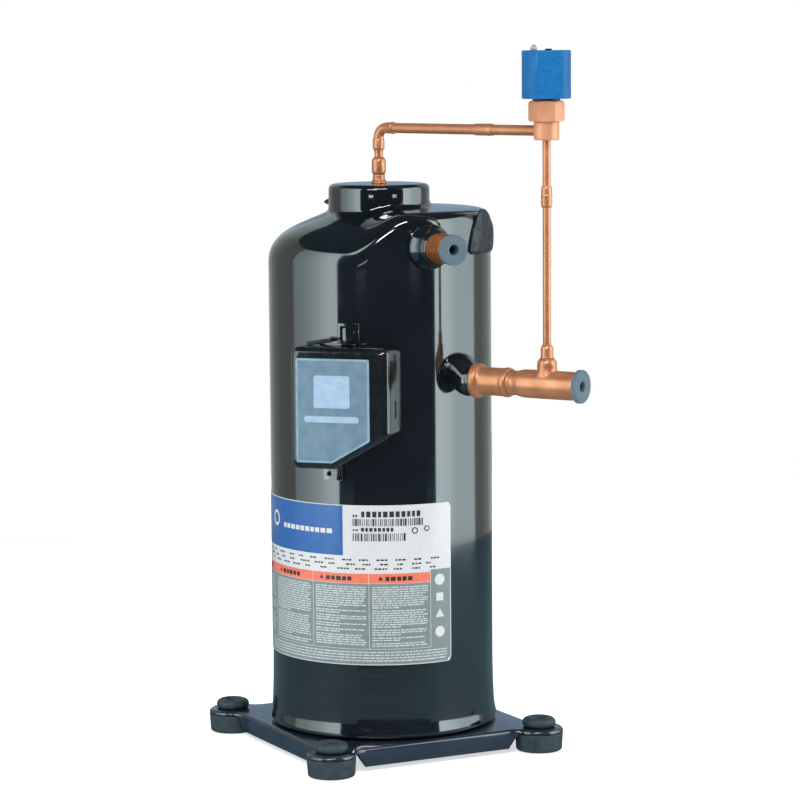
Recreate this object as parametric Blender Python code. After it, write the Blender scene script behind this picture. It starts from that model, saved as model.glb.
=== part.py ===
"""Hermetic scroll compressor with a capacity-control bypass line and its solenoid valve.

Lengths are written in millimetres and stored in metres. The shell stands on +Z, the terminal box
faces -Y, and a bearing is the angle from -Y towards +X. Every piece hangs from the empty
shell_axis, which stands on the ground at the shell's axis.
"""

import math

import bmesh
import bpy
from mathutils import Matrix, Vector

MM = 0.001
GAP = 0.3  # clearance between touching pieces

# Overall layout
AXIS_X = -20.66  # the side piping shifts the middle of the object away from the shell's axis
SHELL_R = 91.5
WALL = 3.0
SHELL_IN_R = SHELL_R - WALL
PLATE_TOP = 19.0
SEAM_TOP = 392.0  # where the top cap meets the centre shell

# Feet and base plate
FOOT_R = 134.7  # a 190.5 mm bolt square
FOOT_HOLE_R = 5.0
FOOT_TOP = 15.2
PLATE_UNDER = 16.0
PLATE_SIDE = 98.0  # axis to the outside of each flange
PLATE_SKIN = 2.8
LOBE_R = 20.0
LOBE_FILLET = 14.0
LOBE_HOLE_R = 11.0
FLANGE_LOW = 3.6
LIP_LOW = 15.6  # the plate's edge over a foot

# Top cap
NECK_R = 41.5
NECK_TOP = 465.0
PORT_HOLE_R = 6.0

# Pipework
SUCTION_Z = 310.5
SUCTION_PORT_Z = 316.5  # the stub drops a little on its way out of the shell
SUCTION_BEARING = 61.0
SUCTION_START = (100.3, -55.4)  # middle of the copper coupling's flared mouth
SUCTION_RUN = (0.968, -0.25)
SUCTION_TUBE_R = 11.2
SUCTION_BORE_R = 10.0
TEE_BRANCH_AT = 63.2
TEE_END_AT = 91.3
DISCHARGE_Z = 418.0
DISCHARGE_BEARING = 43.0
DISCHARGE_TUBE_R = 11.7
DISCHARGE_BORE_R = 10.5
DISCHARGE_END = 135.0
PLUG_FLANGE = 4.0
PLUG_STEM = 12.0
PLUG_HOLE_R = 4.0
BYPASS_Z = 510.3
BYPASS_R = 4.15
ELBOW_R = 8.7
DROP_R = 3.2
NUT_TURN = 14.0

# Compression set and motor
ORBIT = 4.25
PITCH = 16.0
WRAP = 3.6
WRAP_START = 3.6
WRAP_TURNS = 2.7
WRAP_STEPS = 20  # per turn, an even number, so that both wraps have corners on the same bearings
ORBITER_TOP = 321.7
FIXED_FLOOR = 351.7

ROUND = 40
INNER = 24
MEDIUM = 20
SMALL = 12


# ---- materials ----------------------------------------------------------------------------------


def make_material(name, colour, roughness, metallic):
    made = bpy.data.materials.new(name)
    made.use_nodes = True
    shader = made.node_tree.nodes["Principled BSDF"]
    shader.inputs["Base Color"].default_value = (*colour, 1.0)
    shader.inputs["Roughness"].default_value = roughness
    shader.inputs["Metallic"].default_value = metallic
    made.diffuse_color = (*colour, 1.0)
    return made


PAINTS = {
    "black_paint": ((0.012, 0.014, 0.017), 0.12, 0.0),
    "base_paint": ((0.03, 0.04, 0.055), 0.3, 0.0),
    "grey_rubber": ((0.05, 0.075, 0.085), 0.6, 0.0),
    "copper": ((0.72, 0.36, 0.21), 0.3, 1.0),
    "dark_copper": ((0.6, 0.25, 0.12), 0.35, 1.0),
    "coil_blue": ((0.02, 0.16, 0.45), 0.45, 0.0),
    "box_plastic": ((0.012, 0.013, 0.015), 0.25, 0.0),
    "panel_silver": ((0.3, 0.4, 0.48), 0.4, 0.3),
    "label_paper": ((0.75, 0.76, 0.76), 0.5, 0.0),
    "steel": ((0.5, 0.5, 0.52), 0.35, 1.0),
    "cast_iron": ((0.2, 0.2, 0.21), 0.6, 0.7),
    "winding": ((0.6, 0.28, 0.12), 0.45, 0.6),
    "bronze": ((0.6, 0.42, 0.2), 0.4, 1.0),
    "spring_steel": ((0.6, 0.6, 0.6), 0.3, 1.0),
}


# ---- shape helpers ------------------------------------------------------------------------------


def bearing(degrees, radius=1.0):
    """The XY point at this bearing and distance from the shell's axis."""
    angle = math.radians(degrees)
    return Vector((radius * math.sin(angle), -radius * math.cos(angle)))


def smooth(low, high, value):
    t = min(max((value - low) / (high - low), 0.0), 1.0)
    return t * t * (3.0 - 2.0 * t)


def link(name, mesh, paint, origin):
    made = bpy.data.objects.new(name, mesh)
    bpy.context.scene.collection.objects.link(made)
    made.parent = bpy.data.objects["shell_axis"]
    made.location = Vector(origin) * MM
    if paint:
        mesh.materials.append(bpy.data.materials[paint])
    return made


def skin(name, rings, paint, origin=(0, 0, 0), loop=False):
    """A closed solid through rings of equally many points: ends capped, or last joined to first."""
    bm = bmesh.new()
    made = [[bm.verts.new(Vector(point) * MM) for point in ring] for ring in rings]
    count = len(rings[0])
    pairs = list(zip(made, made[1:]))
    if loop:
        pairs.append((made[-1], made[0]))
    for low, high in pairs:
        for i in range(count):
            j = (i + 1) % count
            bm.faces.new((low[i], low[j], high[j], high[i]))
    if not loop:
        bm.faces.new(made[0][::-1])
        bm.faces.new(made[-1])
    bmesh.ops.recalc_face_normals(bm, faces=bm.faces)
    mesh = bpy.data.meshes.new(name)
    bm.to_mesh(mesh)
    bm.free()
    made = link(name, mesh, paint, origin)
    mesh.shade_smooth()
    mesh.set_sharp_from_angle(angle=math.radians(35))
    return made


def circle(radius, z, sides, middle=(0, 0)):
    turn = 2 * math.pi / sides
    return [
        (middle[0] + radius * math.cos(i * turn), middle[1] + radius * math.sin(i * turn), z)
        for i in range(sides)
    ]


def turned(name, profile, sides, paint, origin=(0, 0, 0), loop=False):
    """A solid of revolution about the local Z from (radius, z) points."""
    return skin(name, [circle(r, z, sides) for r, z in profile], paint, origin, loop)


def bored(name, outer, bore, sides, paint, origin=(0, 0, 0)):
    """A solid of revolution with a straight hole right through."""
    low, high = outer[0][1], outer[-1][1]
    return turned(name, outer + [(bore, high), (bore, low)], sides, paint, origin, loop=True)


def sleeve(name, radius, bore, low, high, sides, paint, origin=(0, 0, 0)):
    return bored(name, [(radius, low), (radius, high)], bore, sides, paint, origin)


def aim(made, direction):
    """Turns the local Z towards a direction."""
    turn = Vector(direction).to_track_quat("Z", "Y")
    made.rotation_mode = "QUATERNION"
    made.rotation_quaternion = turn
    return made


def prism(name, outline, low, high, paint, origin=(0, 0, 0)):
    """A straight prism along Z over an XY outline."""
    rings = [[(x, y, z) for x, y in outline] for z in (low, high)]
    return skin(name, rings, paint, origin)


def front_prism(name, outline, back, front, paint, origin=(0, 0, 0)):
    """A straight prism along Y over an XZ outline."""
    rings = [[(x, y, z) for x, z in outline] for y in (back, front)]
    return skin(name, rings, paint, origin)


def block(name, low, high, paint=None):
    outline = [(low[0], low[1]), (high[0], low[1]), (high[0], high[1]), (low[0], high[1])]
    return prism(name, outline, low[2], high[2], paint)


def rounded(corners, radius, steps=3):
    """A polygon with each corner replaced by an arc."""
    made = []
    count = len(corners)
    for i, corner in enumerate(corners):
        here = Vector(corner)
        back = (Vector(corners[i - 1]) - here).normalized()
        on = (Vector(corners[(i + 1) % count]) - here).normalized()
        half = math.acos(max(-1.0, min(1.0, back.dot(on)))) / 2
        middle = here + (back + on).normalized() * (radius / math.sin(half))
        start = here + back * (radius / math.tan(half)) - middle
        end = here + on * (radius / math.tan(half)) - middle
        sweep = math.atan2(start.x * end.y - start.y * end.x, start.dot(end))
        for step in range(steps + 1):
            turned_by = Matrix.Rotation(sweep * step / steps, 2) @ start
            made.append(tuple(middle + turned_by))
    return made


def swept(name, path, radii, sides, paint, bore=None):
    """A tube of changing radius along a path, with a bore of one radius if asked."""
    points = [Vector(point) for point in path]
    frames = []
    across = None
    for i, point in enumerate(points):
        along = (points[min(i + 1, len(points) - 1)] - points[max(i - 1, 0)]).normalized()
        if across is None:
            across = along.orthogonal().normalized()
        across = (across - along * across.dot(along)).normalized()
        frames.append((point, across, along.cross(across)))

    def ring(frame, radius):
        point, first, second = frame
        turn = 2 * math.pi / sides
        return [
            point + (first * math.cos(k * turn) + second * math.sin(k * turn)) * radius
            for k in range(sides)
        ]

    rings = [ring(frame, radius) for frame, radius in zip(frames, radii)]
    if bore:
        rings += [ring(frame, bore) for frame in reversed(frames)]
    return skin(name, rings, paint, loop=bool(bore))


def helper(made):
    made.hide_render = True
    made.display_type = "WIRE"
    return made


def combine(made, other, operation):
    helper(other)
    step = made.modifiers.new(operation.lower(), "BOOLEAN")
    step.solver = "EXACT"
    step.operation = operation
    step.object = other
    return made


def cut(made, cutter):
    return combine(made, cutter, "DIFFERENCE")


def join(made, other):
    return combine(made, other, "UNION")


def swept_section(name, section, start, end, steps, paint):
    """A closed (radius, z) section carried round the shell between two bearings."""
    rings = []
    for step in range(steps + 1):
        angle = start + (end - start) * step / steps
        rings.append([(*bearing(angle, r), z) for r, z in section])
    return skin(name, rings, paint)


# ---- base and feet ------------------------------------------------------------------------------


def plate_outline():
    """Points round the base plate with their outward normals and the height of the skirt's edge."""
    side = FOOT_R / math.sqrt(2)
    reach = LOBE_R + LOBE_FILLET
    lift = PLATE_SIDE + LOBE_FILLET - side
    along = side - math.sqrt(reach**2 - lift**2)
    diagonal = math.sqrt(0.5)
    fillet = Vector(
        ((along + side + lift) * diagonal, (side + lift - along) * diagonal)
    )
    swing = math.degrees(math.atan2(fillet.y, fillet.x - FOOT_R))
    made = []
    for corner in range(4):
        turn = Matrix.Rotation(math.radians(90 * corner), 2)
        steps = 5
        for sign in (-1, 1):
            arc = []
            for step in range(steps + 1):
                share = step / steps
                angle = math.radians(135 + (45 - swing) * share)
                out = Vector((math.cos(angle), math.sin(angle)))
                middle = Vector((fillet.x, -fillet.y))
                low = FLANGE_LOW + (LIP_LOW - FLANGE_LOW) * min(1.0, share / 0.55)
                arc.append((middle + out * LOBE_FILLET, -out, low))
            if sign > 0:
                flip = [
                    (Vector((p.x, -p.y)), Vector((n.x, -n.y)), low) for p, n, low in arc
                ]
                arc = flip[::-1]
            made += [(turn @ p, turn @ n, low) for p, n, low in arc]
            if sign < 0:
                lobe_steps = 10
                for step in range(1, lobe_steps):
                    angle = math.radians(-swing + 2 * swing * step / lobe_steps)
                    out = Vector((math.cos(angle), math.sin(angle)))
                    point = Vector((FOOT_R, 0)) + out * LOBE_R
                    made.append((turn @ point, turn @ out, LIP_LOW))
    return made


def base_plate():
    layers = [
        lambda low: (0.0, low),
        lambda low: (0.0, PLATE_TOP - 2.6),
        lambda low: (0.8, PLATE_TOP - 0.8),
        lambda low: (2.6, PLATE_TOP),
    ]
    under = [lambda low: (PLATE_SKIN, PLATE_UNDER), lambda low: (PLATE_SKIN, low)]
    outline = plate_outline()

    def ring(layer):
        made = []
        for point, out, low in outline:
            inset, z = layer(low)
            spot = point - out * inset
            made.append((spot.x, spot.y, z))
        return made

    bm = bmesh.new()
    rings = [[bm.verts.new(Vector(p) * MM) for p in ring(layer)] for layer in under + layers]
    count = len(outline)
    for low, high in zip(rings, rings[1:]):
        for i in range(count):
            j = (i + 1) % count
            bm.faces.new((low[i], low[j], high[j], high[i]))
    bm.faces.new(rings[0][::-1])
    bm.faces.new(rings[-1])
    bmesh.ops.recalc_face_normals(bm, faces=bm.faces)
    mesh = bpy.data.meshes.new("base_plate")
    bm.to_mesh(mesh)
    bm.free()
    made = link("base_plate", mesh, "base_paint", (0, 0, 0))
    for corner in range(4):
        x, y = bearing(90 * corner, FOOT_R)
        rings = [circle(LOBE_HOLE_R, z, 20, (x, y)) for z in (PLATE_UNDER - 5, PLATE_TOP + 5)]
        cut(made, skin(f"lobe_hole_{corner}", rings, None))


def grommets():
    neck = LOBE_HOLE_R - GAP
    outer = [
        (18.4, 0.0),
        (18.9, 0.8),
        (19.8, FOOT_TOP),
        (neck, FOOT_TOP),
        (neck, PLATE_TOP + GAP),
        (12.2, PLATE_TOP + GAP),
        (13.75, PLATE_TOP + 2.4),
        (13.2, PLATE_TOP + 5.6),
        (10.6, PLATE_TOP + 7.8),
        (7.4, PLATE_TOP + 7.9),
        (FOOT_HOLE_R, PLATE_TOP + 6.2),
    ]
    for name, angle in (("front", 0), ("right", 90), ("rear", 180), ("left", 270)):
        x, y = bearing(angle, FOOT_R)
        profile = outer + [(FOOT_HOLE_R, 0.0)]
        turned(f"grommet_{name}", profile, 16, "grey_rubber", (x, y, 0), loop=True)


# ---- shell --------------------------------------------------------------------------------------


def bottom_shell():
    floor = PLATE_TOP + GAP
    lap_in = SHELL_R + GAP
    profile = [
        (84.0, floor),
        (90.6, floor + 1.0),
        (93.3, floor + 4.0),
        (93.7, floor + 8.0),
        (93.6, floor + 15.0),
        (lap_in + 0.5, floor + 23.0),
        (lap_in, floor + 23.0),
        (lap_in, floor + 10.0),
        (84.0, floor + WALL),
    ]
    turned("bottom_shell", profile, ROUND, "black_paint")


def center_shell():
    made = sleeve(
        "center_shell", SHELL_R, SHELL_IN_R, PLATE_TOP + 12, SEAM_TOP, ROUND, "black_paint"
    )
    port = sleeve_cutter("suction_port_hole", SUCTION_TUBE_R + GAP, 70, 110, SMALL)
    place_on_wall(port, SUCTION_BEARING, SUCTION_PORT_Z)
    cut(made, port)
    socket = sleeve_cutter("terminal_hole", TERMINAL_R + GAP, 70, 110, MEDIUM)
    place_on_wall(socket, 0, TERMINAL_Z, TERMINAL_X)
    cut(made, socket)


def sleeve_cutter(name, radius, low, high, sides):
    return turned(name, [(radius, low), (radius, high)], sides, None)


def place_on_wall(made, angle, z, shift=0.0):
    """Lays a piece made along its Z on the radial line at this bearing and height."""
    out = bearing(angle)
    made.location = Vector((shift, 0, z)) * MM
    return aim(made, (out.x, out.y, 0))


def top_cap():
    low_out = [
        (SHELL_R, SEAM_TOP + GAP),
        (SHELL_R, 402.0),
        (90.6, 409.0),
        (87.6, 416.0),
        (81.0, 423.6),
        (71.0, 430.0),
        (58.0, 435.8),
        (47.5, 440.2),
        (42.8, 442.2),
        (NECK_R, 445.5),
    ]
    high_out = [
        (SHELL_R, SEAM_TOP + GAP),
        (SHELL_R, 415.0),
        (SHELL_R, 433.0),
        (90.5, 438.6),
        (87.0, 442.6),
        (81.0, 444.7),
        (62.0, 445.8),
        (48.5, 446.4),
        (43.0, 447.4),
        (NECK_R, 449.6),
    ]
    neck = [(NECK_R, 459.5), (40.2, 463.4), (36.6, NECK_TOP), (PORT_HOLE_R, NECK_TOP)]
    neck += [(PORT_HOLE_R, NECK_TOP - WALL), (NECK_R - WALL, NECK_TOP - WALL)]
    low_in = [(38.5, 440.0), (57.0, 432.0), (69.0, 425.0), (78.8, 417.5), (84.2, 411.0)]
    low_in += [(87.3, 404.6), (SHELL_IN_R, 398.5), (SHELL_IN_R, SEAM_TOP + GAP)]
    high_in = [(38.5, 442.0), (61.0, 440.5), (80.0, 438.8), (85.2, 437.6), (87.6, 435.0)]
    high_in += [(SHELL_IN_R, 431.0), (SHELL_IN_R, 415.0), (SHELL_IN_R, SEAM_TOP + GAP)]
    rings = []
    for low, high in zip(low_out + neck + low_in, high_out + neck + high_in):
        ring = []
        for step in range(ROUND):
            angle = 360.0 * step / ROUND
            share = lobe_share(angle)
            r = low[0] + (high[0] - low[0]) * share
            z = low[1] + (high[1] - low[1]) * share
            ring.append((*bearing(angle, r), z))
        rings.append(ring)
    made = skin("top_cap", rings, "black_paint", loop=True)
    hole = sleeve_cutter("discharge_hole", DISCHARGE_TUBE_R + GAP, 70, 110, MEDIUM)
    cut(made, place_on_wall(hole, DISCHARGE_BEARING, DISCHARGE_Z))


def lobe_share(angle):
    """How far the cap has risen from its plain dome (0) to the raised side (1) at this bearing."""
    return smooth(0, 35, angle) * (1.0 - smooth(155, 190, angle))


def lug(name, near, rows):
    """A tab lying round the axis, from rows of (height, first bearing, last bearing, outer radius)."""
    steps = 5
    rings = []
    for z, start, end, far in rows:
        angles = [start + (end - start) * step / steps for step in range(steps + 1)]
        ring = [(*bearing(angle, far), z) for angle in angles]
        ring += [(*bearing(angle, near), z) for angle in reversed(angles)]
        rings.append(ring)
    skin(name, rings, "black_paint")


def lifting_lugs():
    side = [
        (409.5, 72, 98, 93.6),
        (413.0, 70, 101, 94.8),
        (422.0, 71.5, 101, 95.4),
        (430.0, 73.5, 99, 95.4),
        (437.0, 76, 94, 94.4),
        (443.0, 79, 89, 93.4),
        (445.0, 81, 86, 92.8),
    ]
    lug("lifting_lug_right", SHELL_R + GAP, side)
    rear = [
        (446.0, 259, 267, 43.4),
        (448.2, 257, 269, 48.6),
        (449.8, 257.5, 268.5, 48.9),
        (452.3, 260, 266, 45.0),
    ]
    lug("lifting_lug_left", NECK_R + GAP, rear)


# ---- pipe connections ---------------------------------------------------------------------------


def discharge_connection():
    bore = DISCHARGE_TUBE_R + GAP
    outer = [(18.3, 84.0), (18.3, 96.6), (17.3, 98.6), (15.4, 101.0), (14.5, 107.0), (13.0, 111.6)]
    boss = bored("discharge_boss", outer, bore, MEDIUM, "black_paint")
    place_on_wall(boss, DISCHARGE_BEARING, DISCHARGE_Z)
    cut(boss, turned("boss_saddle", [(SHELL_R + GAP, 380), (SHELL_R + GAP, 460)], ROUND, None))
    outer = [
        (DISCHARGE_TUBE_R, 84.0),
        (DISCHARGE_TUBE_R, DISCHARGE_END - 2.0),
        (DISCHARGE_TUBE_R + 0.4, DISCHARGE_END),
    ]
    stub = bored("discharge_stub", outer, DISCHARGE_BORE_R, MEDIUM, "dark_copper")
    place_on_wall(stub, DISCHARGE_BEARING, DISCHARGE_Z)
    out = bearing(DISCHARGE_BEARING)
    mouth = out * DISCHARGE_END
    plug("discharge_plug", (mouth.x, mouth.y, DISCHARGE_Z), out, 12.1, DISCHARGE_BORE_R - GAP)


def plug(name, mouth, out, radius, stem):
    """A rubber shipping plug: a flange against the tube's end and a stem inside its bore."""
    outer = [
        (stem - 0.6, -PLUG_STEM),
        (stem, -PLUG_STEM + 1.5),
        (stem, GAP),
        (radius, GAP),
        (radius, GAP + PLUG_FLANGE - 0.6),
        (radius - 0.6, GAP + PLUG_FLANGE),
    ]
    aim(bored(name, outer, PLUG_HOLE_R, MEDIUM, "grey_rubber", mouth), (out.x, out.y, 0))


def along_suction(distance, z=SUCTION_Z):
    run = Vector(SUCTION_RUN).normalized()
    spot = Vector(SUCTION_START) + run * distance
    return (spot.x, spot.y, z)


def suction_connection():
    run = Vector((*SUCTION_RUN, 0)).normalized()
    path = [(*bearing(SUCTION_BEARING, 78), SUCTION_PORT_Z)]
    path += [(*bearing(SUCTION_BEARING, 93), SUCTION_PORT_Z)]
    path += [(*bearing(SUCTION_BEARING - 0.6, 98), SUCTION_PORT_Z - 1.6)]
    path += [along_suction(-9.5), along_suction(-6.2), along_suction(-3.3)]
    radii = [15.4, 15.1, 13.6, 12.8, 12.6, 12.6]
    stub = swept("suction_stub", path, radii, MEDIUM, "black_paint", bore=SUCTION_TUBE_R + GAP)
    cut(stub, turned("stub_saddle", [(SHELL_R + GAP, 280), (SHELL_R + GAP, 340)], ROUND, None))

    mouth = [
        (SUCTION_TUBE_R, -5.5),
        (SUCTION_TUBE_R, -3.0),
        (13.6, -2.9),
        (14.1, 0.0),
        (13.4, 2.8),
        (SUCTION_TUBE_R, 5.0),
        (SUCTION_TUBE_R, 24.5),
        (11.9, 27.0),
        (11.2, 30.0),
    ]
    coupling = bored("suction_coupling", mouth, SUCTION_BORE_R, MEDIUM, "copper", along_suction(0))
    aim(coupling, run)

    body = [
        (10.4, 30.3),
        (9.7, 34.5),
        (9.7, 36.5),
        (11.0, 41.0),
        (11.35, 48.0),
        (11.35, 84.6),
        (11.1, TEE_END_AT),
    ]
    inside = [(SUCTION_BORE_R, TEE_END_AT), (SUCTION_BORE_R, 44.0), (8.6, 38.0), (8.6, 30.3)]
    tee = turned("suction_tee", body + inside, MEDIUM, "copper", along_suction(0), loop=True)
    aim(tee, run)
    branch = [(9.4, 318.0), (8.3, 321.5), (7.7, 323.5), (7.7, 329.0)]
    branch += [(5.6, 331.0), (5.6, 331.6)]
    x, y, _ = along_suction(TEE_BRANCH_AT)
    join(tee, turned("tee_branch", branch, SMALL, None, (x, y, 0)))
    cut(tee, turned("tee_branch_bore", [(3.6, 312.0), (3.6, 340.0)], SMALL, None, (x, y, 0)))
    plug("suction_plug", along_suction(TEE_END_AT), run, 13.3, SUCTION_BORE_R - GAP)


# ---- bypass line --------------------------------------------------------------------------------


def bypass_end():
    """The XY spot of the valve and of the drop line, straight above the tee's branch."""
    x, y, _ = along_suction(TEE_BRANCH_AT)
    return Vector((x, y))


def riser():
    shank = PORT_HOLE_R - GAP
    fitting = [(shank, 456.0), (shank, 472.4)]
    fitting[1:1] = [(shank, NECK_TOP + GAP), (6.6, NECK_TOP + GAP), (5.0, 467.4), (5.0, 471.0)]
    fitting[-1] = (4.6, 472.4)
    bored("port_fitting", fitting, 2.6, SMALL, "copper")
    coupling = [(5.2, 472.7), (5.8, 474.0), (5.8, 483.6), (4.2, 486.2)]
    bored("riser_coupling", coupling, 2.6, SMALL, "copper")
    neck = [(3.5, 486.5), (3.5, 489.5), (3.8, 492.1)]
    bored("riser_neck", neck, 2.6, SMALL, "copper")

    out = bypass_end().normalized()
    centre = BYPASS_Z - ELBOW_R
    path = [(0, 0, 492.4), (0, 0, 494.0), (0, 0, 501.4), (0, 0, 501.6)]
    radii = [4.5, 4.8, 4.8, BYPASS_R]
    for step in range(7):
        angle = math.radians(90.0 * step / 6)
        flat = ELBOW_R * (1 - math.cos(angle))
        path.append((out.x * flat, out.y * flat, centre + ELBOW_R * math.sin(angle)))
        radii.append(BYPASS_R)
    path[4] = (0, 0, 502.2)
    for distance, radius in ((9.6, 4.75), (16.8, 4.9), (17.2, 4.5)):
        path.append((out.x * distance, out.y * distance, BYPASS_Z))
        radii.append(radius)
    swept("bypass_elbow", path, radii, SMALL, "copper", bore=2.9)

    length = bypass_end().length
    joint = 113.0
    first = sleeve("bypass_tube_inner", BYPASS_R, 2.9, 17.5, joint, SMALL, "copper")
    second = sleeve("bypass_tube_outer", BYPASS_R, 2.9, joint + 1.0, length - 10.3, SMALL, "copper")
    sheath = sleeve("bypass_coupling", 5.0, BYPASS_R + GAP, joint - 9, joint + 10, SMALL, "copper")
    for made in (first, second, sheath):
        made.location = Vector((0, 0, BYPASS_Z)) * MM
        aim(made, (out.x, out.y, 0))


def drop_line():
    x, y = bypass_end()
    joint = 458.0
    spot = (x, y, 0)
    reducer = [(4.6, 331.9), (5.0, 333.0), (5.0, 339.5), (3.8, 342.0)]
    bored("branch_reducer", reducer, 2.2, SMALL, "copper", spot)
    sleeve("drop_tube_lower", DROP_R, 2.2, 342.3, joint, SMALL, "copper", spot)
    sleeve("drop_tube_upper", DROP_R, 2.2, joint + 1.0, 502.6, SMALL, "copper", spot)
    ring = [(3.9, 450.4), (4.35, 452.0), (4.35, 458.2), (4.55, 459.2), (4.35, 460.2)]
    ring += [(4.35, 464.6), (3.8, 467.2)]
    bored("drop_coupling", ring, DROP_R + GAP, SMALL, "copper", spot)


def valve():
    x, y = bypass_end()
    spot = (x, y, 0)
    body = [(9.4, 502.9), (10.0, 503.6), (10.0, 517.3), (6.2, 517.3), (6.2, 508.0)]
    turned("valve_body", body, MEDIUM, "copper", spot)

    corners = 14.2
    outline = [circle(corners, z, 6) for z in (517.6, 531.9)] + [circle(12.9, 533.7, 6)]
    nut = skin("valve_bonnet", outline, "copper", spot)
    nut.rotation_euler.z = math.radians(NUT_TURN)
    cut(nut, turned("bonnet_bore", [(6.2, 510.0), (6.2, 540.0)], SMALL, None, spot))

    shell = [(7.4, 534.0), (7.4, 571.6), (6.6, 572.4)]
    stem = turned("valve_stem", shell, SMALL, "steel", spot)
    cut(stem, turned("stem_bore", [(6.0, 530.0), (6.0, 569.5)], SMALL, None, spot))

    plunger = [(2.0, 508.4), (5.7, 512.0), (5.7, 546.0)]
    turned("valve_plunger", plunger, SMALL, "steel", spot)
    spring_between("plunger_spring", 546.4, 568.9, 4.4, 0.6, 5, spot)

    sleeve("coil_gasket", 10.8, 7.7, 534.0, 535.0, MEDIUM, "grey_rubber", spot)
    half_turns = 10
    flat, radius = 16.0, 19.3
    swing = math.acos(flat / radius)
    outline = []
    for side in (0.0, math.pi):
        for step in range(half_turns + 1):
            angle = side + swing + (math.pi - 2 * swing) * step / half_turns
            outline.append((radius * math.sin(angle), -radius * math.cos(angle)))
    coil = prism("solenoid_coil", outline, 535.3, 572.9, "coil_blue", spot)
    coil.rotation_euler.z = math.radians(25)
    cut(coil, turned("coil_bore", [(7.7, 520.0), (7.7, 590.0)], SMALL, None, spot))
    screw = [(2.6, 573.2), (2.6, 575.4), (1.7, 576.0), (1.7, 577.4)]
    turned("coil_screw", screw, 10, "steel", (x - 9.4, y - 3.0, 0))


def spring_between(name, low, high, radius, wire, turns, spot):
    steps = 8 * turns
    path = []
    for step in range(steps + 1):
        angle = 2 * math.pi * step / 8
        rise = low + wire + (high - low - 2 * wire) * step / steps
        path.append((radius * math.cos(angle), radius * math.sin(angle), rise))
    made = swept(name, path, [wire] * (steps + 1), 4, "spring_steel")
    made.location = Vector(spot) * MM


# ---- terminal box -------------------------------------------------------------------------------

BOX_LOW, BOX_HIGH = 242.5, 340.0
BOX_LEFT, BOX_RIGHT = -39.0, 43.5
BOX_FRONT = -114.0
BOX_CUT_X = -3.0
BOX_CUT_Z = 269.3
BOX_SKIN = 2.2
TERMINAL_X, TERMINAL_Z, TERMINAL_R = 2.0, 287.0, 17.0


def box_outline(inset, radius):
    """The box's five-sided front, with its lower right corner cut off at 30 degrees."""
    lean = inset * math.tan(math.radians(15))
    corners = [
        (BOX_LEFT + inset, BOX_LOW + inset),
        (BOX_CUT_X - lean, BOX_LOW + inset),
        (BOX_RIGHT - inset, BOX_CUT_Z + inset * math.tan(math.radians(30))),
        (BOX_RIGHT - inset, BOX_HIGH - inset),
        (BOX_LEFT + inset, BOX_HIGH - inset),
    ]
    return rounded(corners, radius)


def wall_cutter(name, radius):
    return turned(name, [(radius, BOX_LOW - 30), (radius, BOX_HIGH + 30)], 2 * ROUND, None)


def terminal_box():
    inset = BOX_SKIN + GAP
    base = front_prism("terminal_box_base", box_outline(inset, 3.5), -70, -103, "box_plastic")
    cut(base, wall_cutter("box_back", SHELL_R + GAP))
    room = front_prism("box_room", box_outline(inset + 2.0, 2.0), -60, -110, None)
    cut(room, wall_cutter("box_room_back", SHELL_R + GAP + 2.4))
    cut(base, room)
    hole = sleeve_cutter("box_terminal_hole", TERMINAL_R + 1.5, 70, 120, MEDIUM)
    cut(base, place_on_wall(hole, 0, TERMINAL_Z, TERMINAL_X))

    cover = front_prism("terminal_box_cover", box_outline(0, 5.5), -60, BOX_FRONT, "box_plastic")
    edge = cover.modifiers.new("edge", "BEVEL")
    edge.width = 2.6 * MM
    edge.segments = 2
    edge.limit_method = "ANGLE"
    edge.angle_limit = math.radians(60)
    cut(cover, wall_cutter("cover_back", SHELL_R + 2 * GAP))
    hollow = front_prism("cover_room", box_outline(BOX_SKIN, 3.8), -50, BOX_FRONT + 2.0, None)
    cut(cover, hollow)

    panel = [(-33.5, 248.0), (-3.6, 248.0), (27.9, 266.2), (27.9, 331.4), (-33.5, 331.4)]
    front_prism(
        "cover_panel",
        rounded(panel, 1.5, 2),
        BOX_FRONT - GAP,
        BOX_FRONT - GAP - 0.8,
        "panel_silver",
    )


def box_brackets():
    back = -(SHELL_R + GAP + 0.3)
    top = BOX_HIGH + GAP
    clip = block("box_clip", (-5, back - 2.4, top), (13, back, 358.0), "black_paint")
    cut(clip, block("clip_window", (-0.5, back - 10, 343.5), (8.5, back + 10, 353.5)))
    join(clip, block("clip_lip", (-4, back - 9.0, top), (12, back - 1.0, top + 1.8)))
    join(clip, block("clip_arm", (-24, back - 5.0, top + 1.2), (-3, back - 1.0, top + 5.0)))
    tab = block("box_tab", (-18, back - 2.2, 231.5), (-3, back, BOX_LOW - GAP), "steel")
    join(tab, block("tab_flange", (-5.4, back - 7.0, 232.0), (-3.2, back - 1.0, 241.8)))
    hole = turned("tab_hole", [(2.1, -10), (2.1, 10)], 14, None)
    hole.location = Vector((-13.2, back, 236.7)) * MM
    cut(tab, aim(hole, (0, -1, 0)))


def hermetic_terminal():
    body = [(TERMINAL_R, 88.8), (TERMINAL_R, 95.0), (TERMINAL_R - 1.5, 96.4)]
    made = turned("hermetic_terminal", body, MEDIUM, "steel")
    place_on_wall(made, 0, TERMINAL_Z, TERMINAL_X)
    for i in range(3):
        angle = math.radians(90 + 120 * i)
        x = TERMINAL_X + 8.0 * math.cos(angle)
        z = TERMINAL_Z + 8.0 * math.sin(angle)
        pin = sleeve_cutter(f"terminal_pin_{i}", 1.8, 90.0, 106.0, 8)
        pin.location = Vector((x, 0, z)) * MM
        join(made, aim(pin, (0, -1, 0)))


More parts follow.
